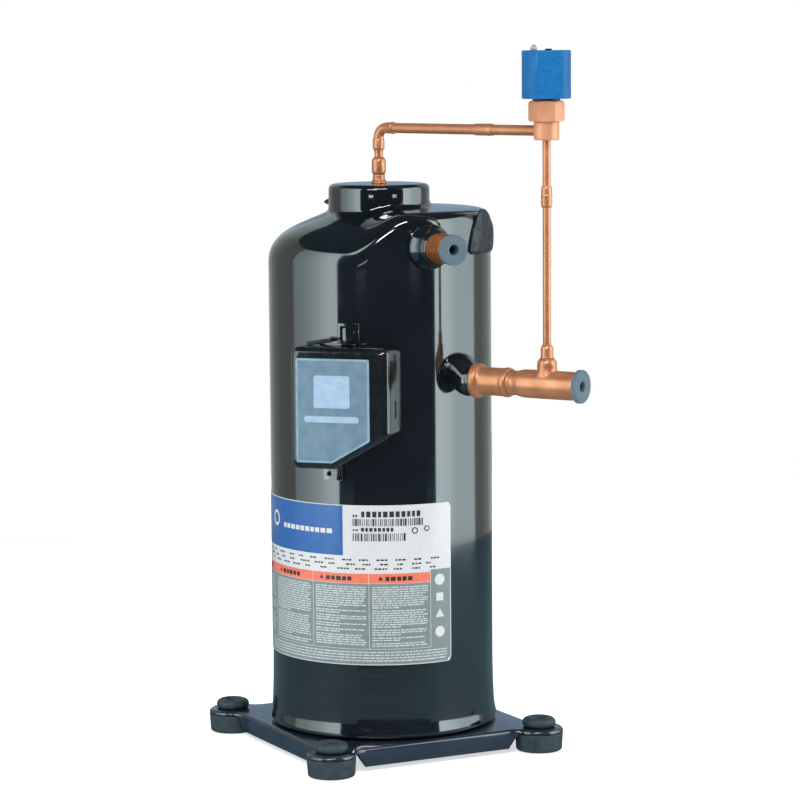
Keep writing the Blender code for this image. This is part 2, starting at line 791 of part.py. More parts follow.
def nameplate():
    near = SHELL_R + GAP
    section = [(near, 81.2), (near + 0.3, 81.2), (near + 0.3, 211.4), (near, 211.4)]
    swept_section("nameplate", section, -85, 55.2, 34, "label_paper")


# ---- motor --------------------------------------------------------------------------------------


def motor():
    sleeve("stator_core", 88.1, 44.2, 110.0, 230.0, MEDIUM, "steel")
    upper = [(50.0, 230.3), (80.0, 230.3), (80.0, 246.0), (74.0, 254.0), (56.0, 254.0)]
    turned("winding_upper", upper + [(50.0, 246.0)], MEDIUM, "winding", loop=True)
    lower = [(r, 340.0 - z) for r, z in upper + [(50.0, 246.0)]]
    turned("winding_lower", lower, MEDIUM, "winding", loop=True)
    sleeve("rotor", 43.2, 14.0 + GAP, 112.0, 228.0, MEDIUM, "steel")
    section = [(18.0, 228.3), (39.0, 228.3), (39.0, 241.0), (18.0, 241.0)]
    swept_section("counterweight_upper", section, 180, 360, 12, "bronze")
    section = [(r, 340.0 - z) for r, z in section]
    swept_section("counterweight_lower", section, 0, 180, 12, "bronze")


def crankshaft():
    shaft = [
        (10.0, 46.0),
        (10.0, 88.0),
        (14.0, 90.0),
        (14.0, 246.0),
        (16.5, 248.0),
        (16.5, 290.0),
    ]
    made = turned("crankshaft", shaft, MEDIUM, "steel")
    pin = [circle(9.0, z, MEDIUM, (ORBIT, 0)) for z in (285.0, 309.5)]
    join(made, skin("crank_pin", pin, None))
    cut(made, turned("oil_bore", [(3.0, 40.0), (3.0, 320.0)], 12, None))
    sleeve("drive_bush", 13.6, 9.0 + GAP, 291.5, 310.5, MEDIUM, "bronze", (ORBIT, 0, 0))


def bearings():
    bore = 16.5 + GAP
    rim = ORBITER_TOP - GAP
    housing = [
        (bore, 256.5),
        (26.0, 256.5),
        (27.0, 258.0),
        (27.0, 276.0),
        (60.0, 284.0),
        (88.1, 286.0),
        (88.1, 303.0),
        (82.0, 303.0),
        (82.0, rim),
        (70.0, rim),
        (70.0, 303.0),
        (27.5, 303.0),
        (27.5, 289.0),
        (bore, 289.0),
    ]
    made = turned("main_bearing_housing", housing, INNER, "cast_iron", loop=True)
    for side in (-1, 1):
        low = (min(side * 41, side * 65), -4.6, 297.5)
        high = (max(side * 41, side * 65), 4.6, 310.0)
        cut(made, block(f"key_way_{side + 1}", low, high))

    bracket = [(10.0 + GAP, 60.0), (17.0, 60.0), (17.0, 68.0), (88.1, 68.0), (88.1, 72.5)]
    bracket += [(17.0, 72.5), (17.0, 80.0), (10.0 + GAP, 80.0)]
    made = turned("lower_bearing_bracket", bracket, MEDIUM, "cast_iron", loop=True)
    for corner in range(4):
        x, y = bearing(45 + 90 * corner, 52)
        rings = [circle(20.0, z, 16, (x, y)) for z in (60, 80)]
        cut(made, skin(f"bracket_window_{corner}", rings, None))


# ---- compression set ----------------------------------------------------------------------------


def wrap_outline(half_turn):
    """The plan of an involute wrap. The second scroll's wrap is the first turned by half a turn."""
    base = PITCH / (2 * math.pi)
    half = WRAP / 2 / base
    steps = int(WRAP_TURNS * WRAP_STEPS)
    step = 2 * math.pi / WRAP_STEPS

    def side(shift):
        made = []
        for i in range(steps + 1):
            roll = WRAP_START + i * step
            arm = roll + shift
            x = base * (math.cos(roll) + arm * math.sin(roll))
            y = base * (math.sin(roll) - arm * math.cos(roll))
            made.append((-x, -y) if half_turn else (x, y))
        return made

    return side(half) + side(-half)[::-1]


def orbiting_scroll():
    spot = (ORBIT, 0, 0)
    low = 311.7
    hub = 13.6 + GAP
    profile = [(hub, 292.0), (20.0, 292.0), (20.0, low), (62.0, low), (62.0, ORBITER_TOP)]
    made = turned("orbiting_scroll", profile + [(hub, ORBITER_TOP - 5)], INNER, "cast_iron", spot)
    cut(made, turned("orbiter_hub_bore", [(hub, 280.0), (hub, low)], MEDIUM, None, spot))
    top = FIXED_FLOOR - GAP
    join(made, prism("orbiting_wrap", wrap_outline(False), ORBITER_TOP - 0.8, top, None, spot))
    for side in (-1, 1):
        middle = side * 50
        low_corner = (ORBIT - 13.5, middle - 10.5, 305.0)
        high_corner = (ORBIT + 13.5, middle + 10.5, 316.5)
        cut(made, block(f"orbiter_key_way_{side + 1}", low_corner, high_corner))


def oldham_ring():
    low, high = 304.0, 308.5
    made = sleeve("oldham_ring", 56.0, 44.0, low, high, MEDIUM, "steel", (ORBIT, 0, 0))
    for side in (-1, 1):
        x = ORBIT + side * 52
        y = side * 50
        join(made, block(f"lower_key_{side + 1}", (x - 4, -4, 299.0), (x + 4, 4, low + 1)))
        low_corner = (ORBIT - 4, y - 4, high - 1)
        join(made, block(f"upper_key_{side + 1}", low_corner, (ORBIT + 4, y + 4, 315.0)))


def fixed_scroll():
    ring_low = ORBITER_TOP + GAP
    profile = [
        (59.5, ring_low),
        (81.0, ring_low),
        (81.0, 364.0),
        (52.0, 368.0),
        (52.0, 376.0),
        (46.0, 376.0),
        (46.0, 369.0),
        (5.0, 369.0),
        (5.0, FIXED_FLOOR),
        (59.5, FIXED_FLOOR),
    ]
    made = turned("fixed_scroll", profile, INNER, "cast_iron", loop=True)
    join(made, prism("fixed_wrap", wrap_outline(True), ring_low, FIXED_FLOOR + 0.8, None))
    seal = [(24.0, 370.3), (45.0, 370.3), (45.0, 380.0), (38.0, 383.5), (24.0, 383.5)]
    turned("floating_seal", seal, MEDIUM, "steel", loop=True)
    sleeve_profile = [(8.5, 369.3), (8.5, 371.0), (7.5, 371.6)]
    turned("discharge_valve_disc", sleeve_profile, SMALL, "spring_steel")


def partition_plate():
    profile = [(14.0, 387.0), (88.1, 387.0), (88.1, 391.5), (34.0, 391.5), (26.0, 398.0)]
    turned("partition_plate", profile + [(14.0, 398.0)], MEDIUM, "steel", loop=True)


# ---- assembly -----------------------------------------------------------------------------------


def build():
    for old in list(bpy.data.objects):
        bpy.data.objects.remove(old)
    for name, (colour, roughness, metallic) in PAINTS.items():
        make_material(name, colour, roughness, metallic)
    frame = bpy.data.objects.new("shell_axis", None)
    bpy.context.scene.collection.objects.link(frame)
    frame.location.x = AXIS_X * MM

    base_plate()
    grommets()
    bottom_shell()
    center_shell()
    top_cap()
    lifting_lugs()
    discharge_connection()
    suction_connection()
    riser()
    drop_line()
    valve()
    terminal_box()
    box_brackets()
    hermetic_terminal()
    nameplate()
    motor()
    crankshaft()
    bearings()
    orbiting_scroll()
    oldham_ring()
    fixed_scroll()
    partition_plate()


build()
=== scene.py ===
"""Looks of the scroll compressor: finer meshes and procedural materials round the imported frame.

Lengths are in millimetres from the shell's axis on the ground and are stored in metres. A bearing
is the angle from -Y, the terminal box's side, towards +X.
"""

import math
import random

import bmesh
import bpy
from mathutils import Matrix, Vector


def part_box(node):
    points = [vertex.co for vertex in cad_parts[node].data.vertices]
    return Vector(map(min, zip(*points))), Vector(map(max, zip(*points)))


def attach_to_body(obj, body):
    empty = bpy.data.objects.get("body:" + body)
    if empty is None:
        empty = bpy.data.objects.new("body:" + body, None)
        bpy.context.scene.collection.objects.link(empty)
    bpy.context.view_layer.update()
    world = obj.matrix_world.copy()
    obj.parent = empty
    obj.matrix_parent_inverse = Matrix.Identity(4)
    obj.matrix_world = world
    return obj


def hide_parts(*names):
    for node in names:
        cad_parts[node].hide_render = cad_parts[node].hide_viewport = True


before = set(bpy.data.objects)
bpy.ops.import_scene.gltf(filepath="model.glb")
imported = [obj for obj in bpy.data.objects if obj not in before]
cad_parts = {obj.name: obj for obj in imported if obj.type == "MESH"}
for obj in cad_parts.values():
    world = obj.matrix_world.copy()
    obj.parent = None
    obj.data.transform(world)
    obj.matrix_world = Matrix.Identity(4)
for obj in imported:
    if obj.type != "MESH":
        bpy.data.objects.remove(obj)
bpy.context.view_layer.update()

MM = 0.001


def frame_box(node):
    """A CAD node's lowest and highest corners in millimetres."""
    low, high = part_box(node)
    return low / MM, high / MM


# ---- sizes taken from the frame ----

SHELL_LOW, SHELL_HIGH = frame_box("center_shell")
AXIS = Vector(((SHELL_LOW.x + SHELL_HIGH.x) / 2, 0.0, 0.0))
SHELL_R = (SHELL_HIGH.x - SHELL_LOW.x) / 2
SEAM_TOP = SHELL_HIGH.z
PLATE_TOP = frame_box("base_plate")[1].z
NECK_TOP = frame_box("top_cap")[1].z
GROMMET_R = 19.8
FOOT_R = -frame_box("grommet_front")[0].y - GROMMET_R
VALVE_LOW, VALVE_HIGH = frame_box("valve_body")
VALVE_SPOT = (VALVE_LOW + VALVE_HIGH) / 2 - AXIS
COIL_LOW, COIL_HIGH = frame_box("solenoid_coil")
LABEL_LOW, LABEL_HIGH = frame_box("nameplate")
COVER_LOW, COVER_HIGH = frame_box("terminal_box_cover")
PANEL_LOW, PANEL_HIGH = frame_box("cover_panel")

# ---- sizes shared with the CAD parts ----

WALL = 3.0
# Distances from the axis inside and outside the wall, for a hole bored right through it.
WALL_CUT = (70.0, 110.0)
GAP = 0.3
PLATE_SIDE = 98.0
PLATE_SKIN = 2.8
LOBE_R = 20.0
LOBE_FILLET = 14.0
FLANGE_LOW = 3.6
LIP_LOW = 15.6
NECK_R = 41.5
SUCTION_Z = 310.5
SUCTION_PORT_Z = 316.5
SUCTION_BEARING = 61.0
SUCTION_START = Vector((100.3, -55.4, SUCTION_Z))
SUCTION_RUN = Vector((0.968, -0.25, 0.0)).normalized()
TEE_BRANCH_AT = 63.2
TEE_END_AT = 91.3
TEE_R = 11.4
TERMINAL_SPOT = (2.0, 0, 287.0)
DISCHARGE_Z = 418.0
DISCHARGE_BEARING = 43.0
DISCHARGE_END = 135.0
BYPASS_Z = 510.3
ELBOW_R = 8.7
RISER_BORE = 2.6
LEVEL_R = 4.15
LEVEL_BORE = 2.9
DROP_R = 3.2
DROP_BORE = 2.2
LABEL_START, LABEL_END = -85.0, 55.2
DIVIDERS = (-52.0, -19.4, 11.3, 43.1)
COIL_TURN = 25.0
NUT_TURN = 14.0

# Sides of the shell's rounds and of a pipe's.
SMOOTH = 128
PIPE = 56


# ---- nodes ----


def node(tree, kind, inputs):
    """A new shader node whose inputs are set to these values or linked to these sockets."""
    made = tree.nodes.new(kind)
    for name, value in inputs.items():
        socket = made.inputs[name]
        if isinstance(value, bpy.types.NodeSocket):
            tree.links.new(value, socket)
        else:
            socket.default_value = value
    return made


class Paint:
    """A Principled material and short calls that build its procedural detail."""

    def __init__(self, name, colour, roughness, metallic=0.0, **sockets):
        self.material = bpy.data.materials.new(name)
        self.material.use_nodes = True
        self.tree = self.material.node_tree
        self.shader = self.tree.nodes["Principled BSDF"]
        self.shader.inputs["Base Color"].default_value = (*colour, 1.0)
        self.shader.inputs["Roughness"].default_value = roughness
        self.shader.inputs["Metallic"].default_value = metallic
        for socket, value in sockets.items():
            self.shader.inputs[socket.replace("_", " ")].default_value = value
        self.material.diffuse_color = (*colour, 1.0)
        self.place = self.tree.nodes.new("ShaderNodeTexCoord").outputs["Object"]
        self.height = None

    def drive(self, socket, source):
        self.tree.links.new(source, self.shader.inputs[socket])

    def noise(self, size, detail=3.0, stretch=(1, 1, 1)):
        """Noise whose lumps are about this many millimetres across."""
        mapping = node(self.tree, "ShaderNodeMapping", {"Vector": self.place, "Scale": stretch})
        made = node(self.tree, "ShaderNodeTexNoise", {
            "Vector": mapping.outputs["Vector"],
            "Scale": 1.0 / (size * MM),
            "Detail": detail,
        })
        return made.outputs["Fac"]

    def ramp(self, source, low, high, start=0.35, end=0.65):
        """A colour ramp between two colours or two grey levels."""
        made = node(self.tree, "ShaderNodeValToRGB", {"Fac": source})
        stops = made.color_ramp.elements
        stops[0].position, stops[1].position = start, end
        for stop, value in zip(stops, (low, high)):
            stop.color = (*value, 1.0) if isinstance(value, tuple) else (value,) * 3 + (1.0,)
        return made.outputs["Color"]

    def rough(self, size, low, high, stretch=(1, 1, 1)):
        """Lets the roughness drift between two values."""
        self.drive("Roughness", self.ramp(self.noise(size, 4.0, stretch), low, high))

    def bump(self, size, depth, strength=1.0, detail=3.0, stretch=(1, 1, 1)):
        """Adds relief of this depth in millimetres on top of any relief already there."""
        inputs = {"Distance": depth * MM, "Strength": strength}
        inputs["Height"] = self.noise(size, detail, stretch)
        if self.height:
            inputs["Normal"] = self.height
        self.height = node(self.tree, "ShaderNodeBump", inputs).outputs["Normal"]
        self.drive("Normal", self.height)


PAINTS = {}


def surface(name, low, high, roughness, metallic, size, grain, *relief, **sockets):
    """A material whose colour drifts between two shades over this many millimetres.

    The grain is the size, lowest and highest value of its roughness, and each relief the size,
    depth and strength of one layer of bumps, in the order that Paint.rough and Paint.bump take.
    """
    made = Paint(name, low, roughness, metallic, **sockets)
    made.drive("Base Color", made.ramp(made.noise(size, 4.0), low, high, 0.3, 0.7))
    made.rough(*grain)
    for layer in relief:
        made.bump(*layer)
    PAINTS[name] = made.material


def painted_steel():
    surface("black_gloss", (0.0030, 0.0048, 0.0065), (0.0050, 0.0075, 0.0100), 0.08, 0, 60,
            (35, 0.06, 0.11), (70, 0.12, 0.5, 1.0), (5, 0.004, 0.35),
            IOR=1.9, Coat_Weight=0.5, Coat_Roughness=0.03)
    surface("weld_black", (0.004, 0.006, 0.009), (0.014, 0.020, 0.028), 0.4, 0, 6,
            (5, 0.3, 0.6), (5, 0.5, 0.8), (1.4, 0.15, 0.7))
    # The base plate's paint is near black; its blue tint is a painted reflection of the bluish
    # surroundings that its top shows at a grazing angle.
    surface("base_paint", (0.008, 0.013, 0.024), (0.014, 0.021, 0.038), 0.14, 0, 25,
            (18, 0.12, 0.2), (30, 0.08, 0.4, 1.0), (1.6, 0.006, 0.3),
            IOR=1.8, Coat_Weight=0.4, Coat_Roughness=0.06)


def rubber_and_plastic():
    surface("grey_rubber", (0.014, 0.027, 0.034), (0.028, 0.048, 0.058), 0.42, 0, 6,
            (4, 0.46, 0.64), (2.2, 0.05, 0.5), (0.5, 0.01, 0.5))
    surface("plug_rubber", (0.075, 0.115, 0.145), (0.095, 0.140, 0.172), 0.6, 0, 5,
            (3, 0.52, 0.68), (1.2, 0.03, 0.5))
    surface("coil_blue", (0.001, 0.098, 0.28), (0.004, 0.125, 0.34), 0.36, 0, 9,
            (5, 0.34, 0.46), (3.0, 0.03, 0.5), Specular_IOR_Level=0.3)
    surface("coil_cast", (0.000, 0.105, 0.30), (0.006, 0.145, 0.38), 0.55, 0, 3,
            (1.2, 0.35, 0.7), (1.5, 0.4, 0.9, 5.0), (0.6, 0.2, 0.8), Specular_IOR_Level=0.2)
    surface("box_plastic", (0.004, 0.005, 0.006), (0.008, 0.009, 0.010), 0.14, 0, 12,
            (6, 0.1, 0.2), (1.4, 0.03, 0.5), IOR=1.7, Coat_Weight=0.4, Coat_Roughness=0.05)
    surface("panel_face", (0.115, 0.185, 0.250), (0.165, 0.245, 0.315), 0.42, 0.25, 9,
            (4, 0.36, 0.5, (1, 1, 0.15)), (1.4, 0.02, 0.5, 4.0, (1, 1, 0.12)))
    surface("panel_rim", (0.17, 0.29, 0.36), (0.25, 0.39, 0.46), 0.35, 0.2, 8,
            (4, 0.3, 0.42), (0.8, 0.01, 0.5))
    surface("panel_mark", (0.27, 0.37, 0.50), (0.34, 0.45, 0.58), 0.42, 0.1, 6,
            (3, 0.38, 0.5), (0.8, 0.01, 0.5))


def bare_metals():
    surface("copper", (0.60, 0.235, 0.110), (0.71, 0.320, 0.170), 0.36, 0.68, 16,
            (9, 0.32, 0.42), (12, 0.04, 0.4), (1.1, 0.006, 0.4))
    surface("dark_copper", (0.42, 0.115, 0.030), (0.58, 0.205, 0.070), 0.32, 0.8, 7,
            (5, 0.28, 0.4), (6, 0.05, 0.5), (0.8, 0.008, 0.5))
    surface("valve_copper", (0.66, 0.280, 0.150), (0.74, 0.335, 0.180), 0.42, 0.35, 10,
            (5, 0.38, 0.48), (1.2, 0.02, 0.5))
    surface("bare_steel", (0.42, 0.43, 0.45), (0.56, 0.57, 0.59), 0.32, 1, 6,
            (4, 0.26, 0.42, (1, 1, 0.2)), (0.8, 0.01, 0.5))
    surface("zinc_steel", (0.36, 0.37, 0.36), (0.60, 0.61, 0.60), 0.4, 0.6, 3,
            (3, 0.34, 0.5), (1.5, 0.03, 0.5))
    surface("cast_iron", (0.10, 0.10, 0.105), (0.17, 0.17, 0.175), 0.55, 0.8, 5,
            (3, 0.45, 0.65), (1.6, 0.12, 0.7, 5.0))
    surface("winding", (0.42, 0.15, 0.05), (0.62, 0.27, 0.10), 0.35, 0.7, 3,
            (2, 0.28, 0.42), (1.2, 0.25, 0.8, 2.0, (1, 1, 4)))
    surface("bronze", (0.50, 0.33, 0.14), (0.66, 0.46, 0.22), 0.35, 1, 5,
            (3, 0.28, 0.42), (0.8, 0.01, 0.5))


def label_inks():
    """The label's paper and inks: laminated, slightly glossy, with faint ink mottling."""
    for name, low, high in (
        ("label_white", (0.525, 0.515, 0.52), (0.545, 0.535, 0.54)),
        ("label_blue", (0.010, 0.080, 0.27), (0.018, 0.098, 0.31)),
        ("label_orange", (0.66, 0.13, 0.075), (0.72, 0.165, 0.10)),
        ("label_grey", (0.150, 0.180, 0.178), (0.180, 0.212, 0.210)),
        ("label_ink", (0.020, 0.022, 0.026), (0.035, 0.038, 0.042)),
        ("label_faint", (0.46, 0.50, 0.49), (0.54, 0.58, 0.57)),
    ):
        surface(name, low, high, 0.3, 0, 5, (8, 0.28, 0.36), (14, 0.012, 0.4),
                Coat_Weight=0.25, Coat_Roughness=0.12)


painted_steel()
rubber_and_plastic()
bare_metals()
label_inks()


# ---- mesh helpers ----


def bearing(degrees, radius=1.0, z=0.0):
    angle = math.radians(degrees)
    return Vector((radius * math.sin(angle), -radius * math.cos(angle), z))


def smooth(low, high, value):
    t = min(max((value - low) / (high - low), 0.0), 1.0)
    return t * t * (3.0 - 2.0 * t)


def to_object(name, bm, material):
    """Turns a bmesh in metres into an object of the scene."""
    mesh = bpy.data.meshes.new(name)
    bm.to_mesh(mesh)
    bm.free()
    mesh.materials.append(material)
    made = bpy.data.objects.new(name, mesh)
    bpy.context.scene.collection.objects.link(made)
    return made


def store(name, bm, paint, angle=32.0):
    """Turns the bmesh into an object: millimetres from the shell's axis become frame metres."""
    for vertex in bm.verts:
        vertex.co = (vertex.co + AXIS) * MM
    bmesh.ops.recalc_face_normals(bm, faces=bm.faces)
    if bm.calc_volume(signed=True) < 0.0:
        bmesh.ops.reverse_faces(bm, faces=bm.faces)
    made = to_object(name, bm, PAINTS[paint])
    made.data.shade_smooth()
    made.data.set_sharp_from_angle(angle=math.radians(angle))
    return made


def solid(name, rings, paint, angle=32.0, loop=False):
    """A closed solid through rings of equally many points, capped unless they close a loop."""
    bm = bmesh.new()
    made = [[bm.verts.new(Vector(point)) for point in ring] for ring in rings]
    count = len(rings[0])
    pairs = list(zip(made, made[1:]))
    if loop:
        pairs.append((made[-1], made[0]))
    for low, high in pairs:
        for i in range(count):
            j = (i + 1) % count
            bm.faces.new((low[i], low[j], high[j], high[i]))
    if not loop:
        bm.faces.new(made[0][::-1])
        bm.faces.new(made[-1])
    return store(name, bm, paint, angle)


def soften(profile, radius, steps=3, closed=False):
    """A polyline with each inner corner replaced by a small arc."""
    points = [Vector(point) for point in profile]
    count = len(points)
    made = []
    for i, here in enumerate(points):
        if not closed and i in (0, count - 1):
            made.append(tuple(here))
            continue
        before, after = points[i - 1] - here, points[(i + 1) % count] - here
        cut = min(radius, before.length * 0.45, after.length * 0.45)
        start, end = here + before.normalized() * cut, here + after.normalized() * cut
        for step in range(steps + 1):
            t = step / steps
            made.append(tuple(start.lerp(here, t).lerp(here.lerp(end, t), t)))
    return made


def basis(out):
    """A turn that takes +Z to this direction."""
    return Vector(out).to_track_quat("Z", "Y").to_matrix()


def circle_rings(profile, sides, origin, turn):
    rings = []
    for r, z in profile:
        ring = []
        for i in range(sides):
            angle = 2 * math.pi * i / sides
            local = Vector((r * math.cos(angle), r * math.sin(angle), z))
            ring.append(Vector(origin) + turn @ local)
        rings.append(ring)
    return rings


def turned(name, profile, paint, sides=PIPE, origin=(0, 0, 0), out=(0, 0, 1), loop=True, soft=0.4):
    """A solid of revolution from (radius, distance) points along a direction."""
    shape = soften(profile, soft, closed=loop) if soft else profile
    return solid(name, circle_rings(shape, sides, origin, basis(out)), paint, loop=loop)


def tube_rings(path, radii, sides):
    points = [Vector(point) for point in path]
    rings = []
    across = None
    for i, (point, radius) in enumerate(zip(points, radii)):
        along = (points[min(i + 1, len(points) - 1)] - points[max(i - 1, 0)]).normalized()
        if across is None:
            across = along.orthogonal().normalized()
        across = (across - along * across.dot(along)).normalized()
        up = along.cross(across)
        ring = []
        for k in range(sides):
            angle = 2 * math.pi * k / sides
            ring.append(point + (across * math.cos(angle) + up * math.sin(angle)) * radius)
        rings.append(ring)
    return rings


def swept(name, path, radii, bore, paint, sides=PIPE):
    """A tube of changing radius along a path with a straight-walled bore."""
    outside = tube_rings(path, radii, sides)
    inside = tube_rings(path, [bore] * len(path), sides)
    return solid(name, outside + inside[::-1], paint, loop=True)


def combine(made, other, operation="DIFFERENCE", solver="EXACT"):
    """Cuts another mesh out of this one, or joins it on, for good and removes the other."""
    step = made.modifiers.new(operation.lower(), "BOOLEAN")
    step.operation = operation
    step.solver = solver
    step.object = other
    graph = bpy.context.evaluated_depsgraph_get()
    mesh = bpy.data.meshes.new_from_object(made.evaluated_get(graph))
    made.modifiers.clear()
    made.data = mesh
    mesh.set_sharp_from_angle(angle=math.radians(35))
    bpy.data.objects.remove(other)


def drill(made, radius, low, high, origin=(0, 0, 0), out=(0, 0, 1), sides=48, solver="EXACT"):
    """Takes out everything within a radius, from one distance to another along a direction."""
    ends = [(radius, low), (radius, high)]
    cutter = turned("cutter", ends, "bare_steel", sides, origin, out, loop=False, soft=0)
    combine(made, cutter, solver=solver)


def attach(made, body, slot, *nodes):
    """The piece rides on a body and stands for these CAD nodes, or for none if it adds detail."""
    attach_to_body(made, body)
    if nodes:
        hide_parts(*nodes)
    return made


ROOT = "compressor"


# ---- base plate and feet ----


def plate_outline():
    """Points round the plate, their outward normals and the height of the skirt's lower edge."""
    side = FOOT_R / math.sqrt(2)
    reach = LOBE_R + LOBE_FILLET
    lift = PLATE_SIDE + LOBE_FILLET - side
    along = side - math.sqrt(reach**2 - lift**2)
    diagonal = math.sqrt(0.5)
    fillet = Vector(((along + side + lift) * diagonal, (side + lift - along) * diagonal))
    swing = math.degrees(math.atan2(fillet.y, fillet.x - FOOT_R))
    fillet_steps, lobe_steps, side_steps = 12, 40, 8
    made = []
    for corner in range(4):
        turn = Matrix.Rotation(math.radians(90 * corner), 2)
        entry = []
        for step in range(fillet_steps + 1):
            share = step / fillet_steps
            angle = math.radians(135 + (45 - swing) * share)
            out = Vector((math.cos(angle), math.sin(angle)))
            low = FLANGE_LOW + (LIP_LOW - FLANGE_LOW) * min(1.0, share / 0.55)
            entry.append((Vector((fillet.x, -fillet.y)) + out * LOBE_FILLET, -out, low))
        leave = [(Vector((p.x, -p.y)), Vector((n.x, -n.y)), low) for p, n, low in entry][::-1]
        lobe = []
        for step in range(1, lobe_steps):
            angle = math.radians(-swing + 2 * swing * step / lobe_steps)
            out = Vector((math.cos(angle), math.sin(angle)))
            lobe.append((Vector((FOOT_R, 0)) + out * LOBE_R, out, LIP_LOW))
        made += [(turn @ p, turn @ n, low) for p, n, low in entry + lobe + leave]
        start, out, low = made[-1]
        onward = (Matrix.Rotation(math.radians(90), 2) @ made[-len(entry + lobe + leave)][0]) - start
        for step in range(1, side_steps):
            made.append((start + onward * (step / side_steps), out, low))
    return made


def base_plate():
    """A pressed plate with a skirt turned down all round, bored for the grommets."""
    outline = plate_outline()
    bend = 3.2
    layers = [(PLATE_SKIN, None, 16.0), (PLATE_SKIN, 0.5, 0.0), (PLATE_SKIN - 0.5, 0.0, 0.0)]
    layers += [(0.5, 0.0, 0.0), (0.0, 0.5, 0.0)]
    rings = []
    for inset, rise, fixed in layers:
        ring = []
        for point, out, low in outline:
            spot = point - out * inset
            ring.append((spot.x, spot.y, fixed if rise is None else low + rise))
        rings.append(ring)
    steps = 6
    for step in range(steps + 1):
        angle = math.radians(90 * step / steps)
        inset = bend * (1 - math.cos(angle))
        z = PLATE_TOP - bend + bend * math.sin(angle)
        rings.append([(*(point - out * inset), z) for point, out, _ in outline])
    made = solid("base_plate_fine", rings, "base_paint", 40)
    for corner in range(4):
        drill(made, 11.0, 5.0, 30.0, bearing(90 * corner, FOOT_R), solver="MANIFOLD")
    attach(made, ROOT, "base_paint", "base_plate")


def grommets():
    neck = 10.7
    profile = [
        (5.0, 0.4), (5.6, 0.0), (18.2, 0.0), (19.0, 1.2), (GROMMET_R, 14.4), (19.0, 15.2),
        (neck, 15.2), (neck, PLATE_TOP + GAP), (12.4, PLATE_TOP + 0.4), (13.6, PLATE_TOP + 1.8),
        (13.9, PLATE_TOP + 4.0), (12.9, PLATE_TOP + 6.4), (10.6, PLATE_TOP + 7.7),
        (7.8, PLATE_TOP + 7.9), (5.6, PLATE_TOP + 7.0), (5.0, PLATE_TOP + 5.6),
    ]
    for name, angle in (("front", 0), ("right", 90), ("rear", 180), ("left", 270)):
        middle = bearing(angle, FOOT_R)
        made = turned(f"grommet_{name}_fine", profile, "grey_rubber", 64, middle, soft=1.0)
        attach(made, ROOT, "grey_rubber", f"grommet_{name}")


# ---- shell ----


def shell_bottom():
    """The dish under the tube, flared out at its foot."""
    floor = PLATE_TOP + GAP
    profile = [
        (84.0, floor), (91.4, floor + 0.4), (93.9, floor + 2.2), (94.5, floor + 4.2),
        (93.7, floor + 8.2), (92.8, floor + 12.4), (92.4, floor + 18.0), (91.9, floor + 30.0),
        (91.6, floor + 44.0),
        (SHELL_R + 0.03, floor + 52.0), (SHELL_R + 0.02, floor + 30.0), (SHELL_R + 0.02, floor + 10.0),
        (84.0, floor + WALL),
    ]
    made = turned("bottom_shell_fine", profile, "black_gloss", SMOOTH, soft=1.6, loop=False)
    attach(made, ROOT, "black_paint", "bottom_shell")


def shell_wall():
    """The rolled tube, open where the suction line and the electric terminal pass through it."""
    inner = SHELL_R - WALL
    low, high = SHELL_LOW.z, SEAM_TOP + GAP
    levels = [low + (high - low) * i / 24 for i in range(25)]
    profile = [(SHELL_R, z) for z in levels] + [(inner, z) for z in reversed(levels)]
    made = turned("center_shell_fine", profile, "black_gloss", SMOOTH, soft=0)
    drill(made, 11.5, *WALL_CUT, (0, 0, SUCTION_PORT_Z), bearing(SUCTION_BEARING))
    drill(made, 17.3, *WALL_CUT, TERMINAL_SPOT, bearing(0))
    attach(made, ROOT, "black_paint", "center_shell")


def lobe_share(angle):
    """How far the cap has risen from its plain dome (0) to its raised side (1)."""
    return smooth(0, 35, angle) * (1.0 - smooth(155, 190, angle))


def spline(points, steps):
    """A Catmull-Rom curve through the points."""
    made = []
    count = len(points)
    for i in range(count - 1):
        a, b = Vector(points[max(i - 1, 0)]), Vector(points[i])
        c, d = Vector(points[i + 1]), Vector(points[min(i + 2, count - 1)])
        for step in range(steps):
            t = step / steps
            made.append(
                0.5 * ((2 * b) + (c - a) * t + (2 * a - 5 * b + 4 * c - d) * t**2
                       + (3 * b - a - 3 * c + d) * t**3)
            )
    made.append(Vector(points[-1]))
    return made


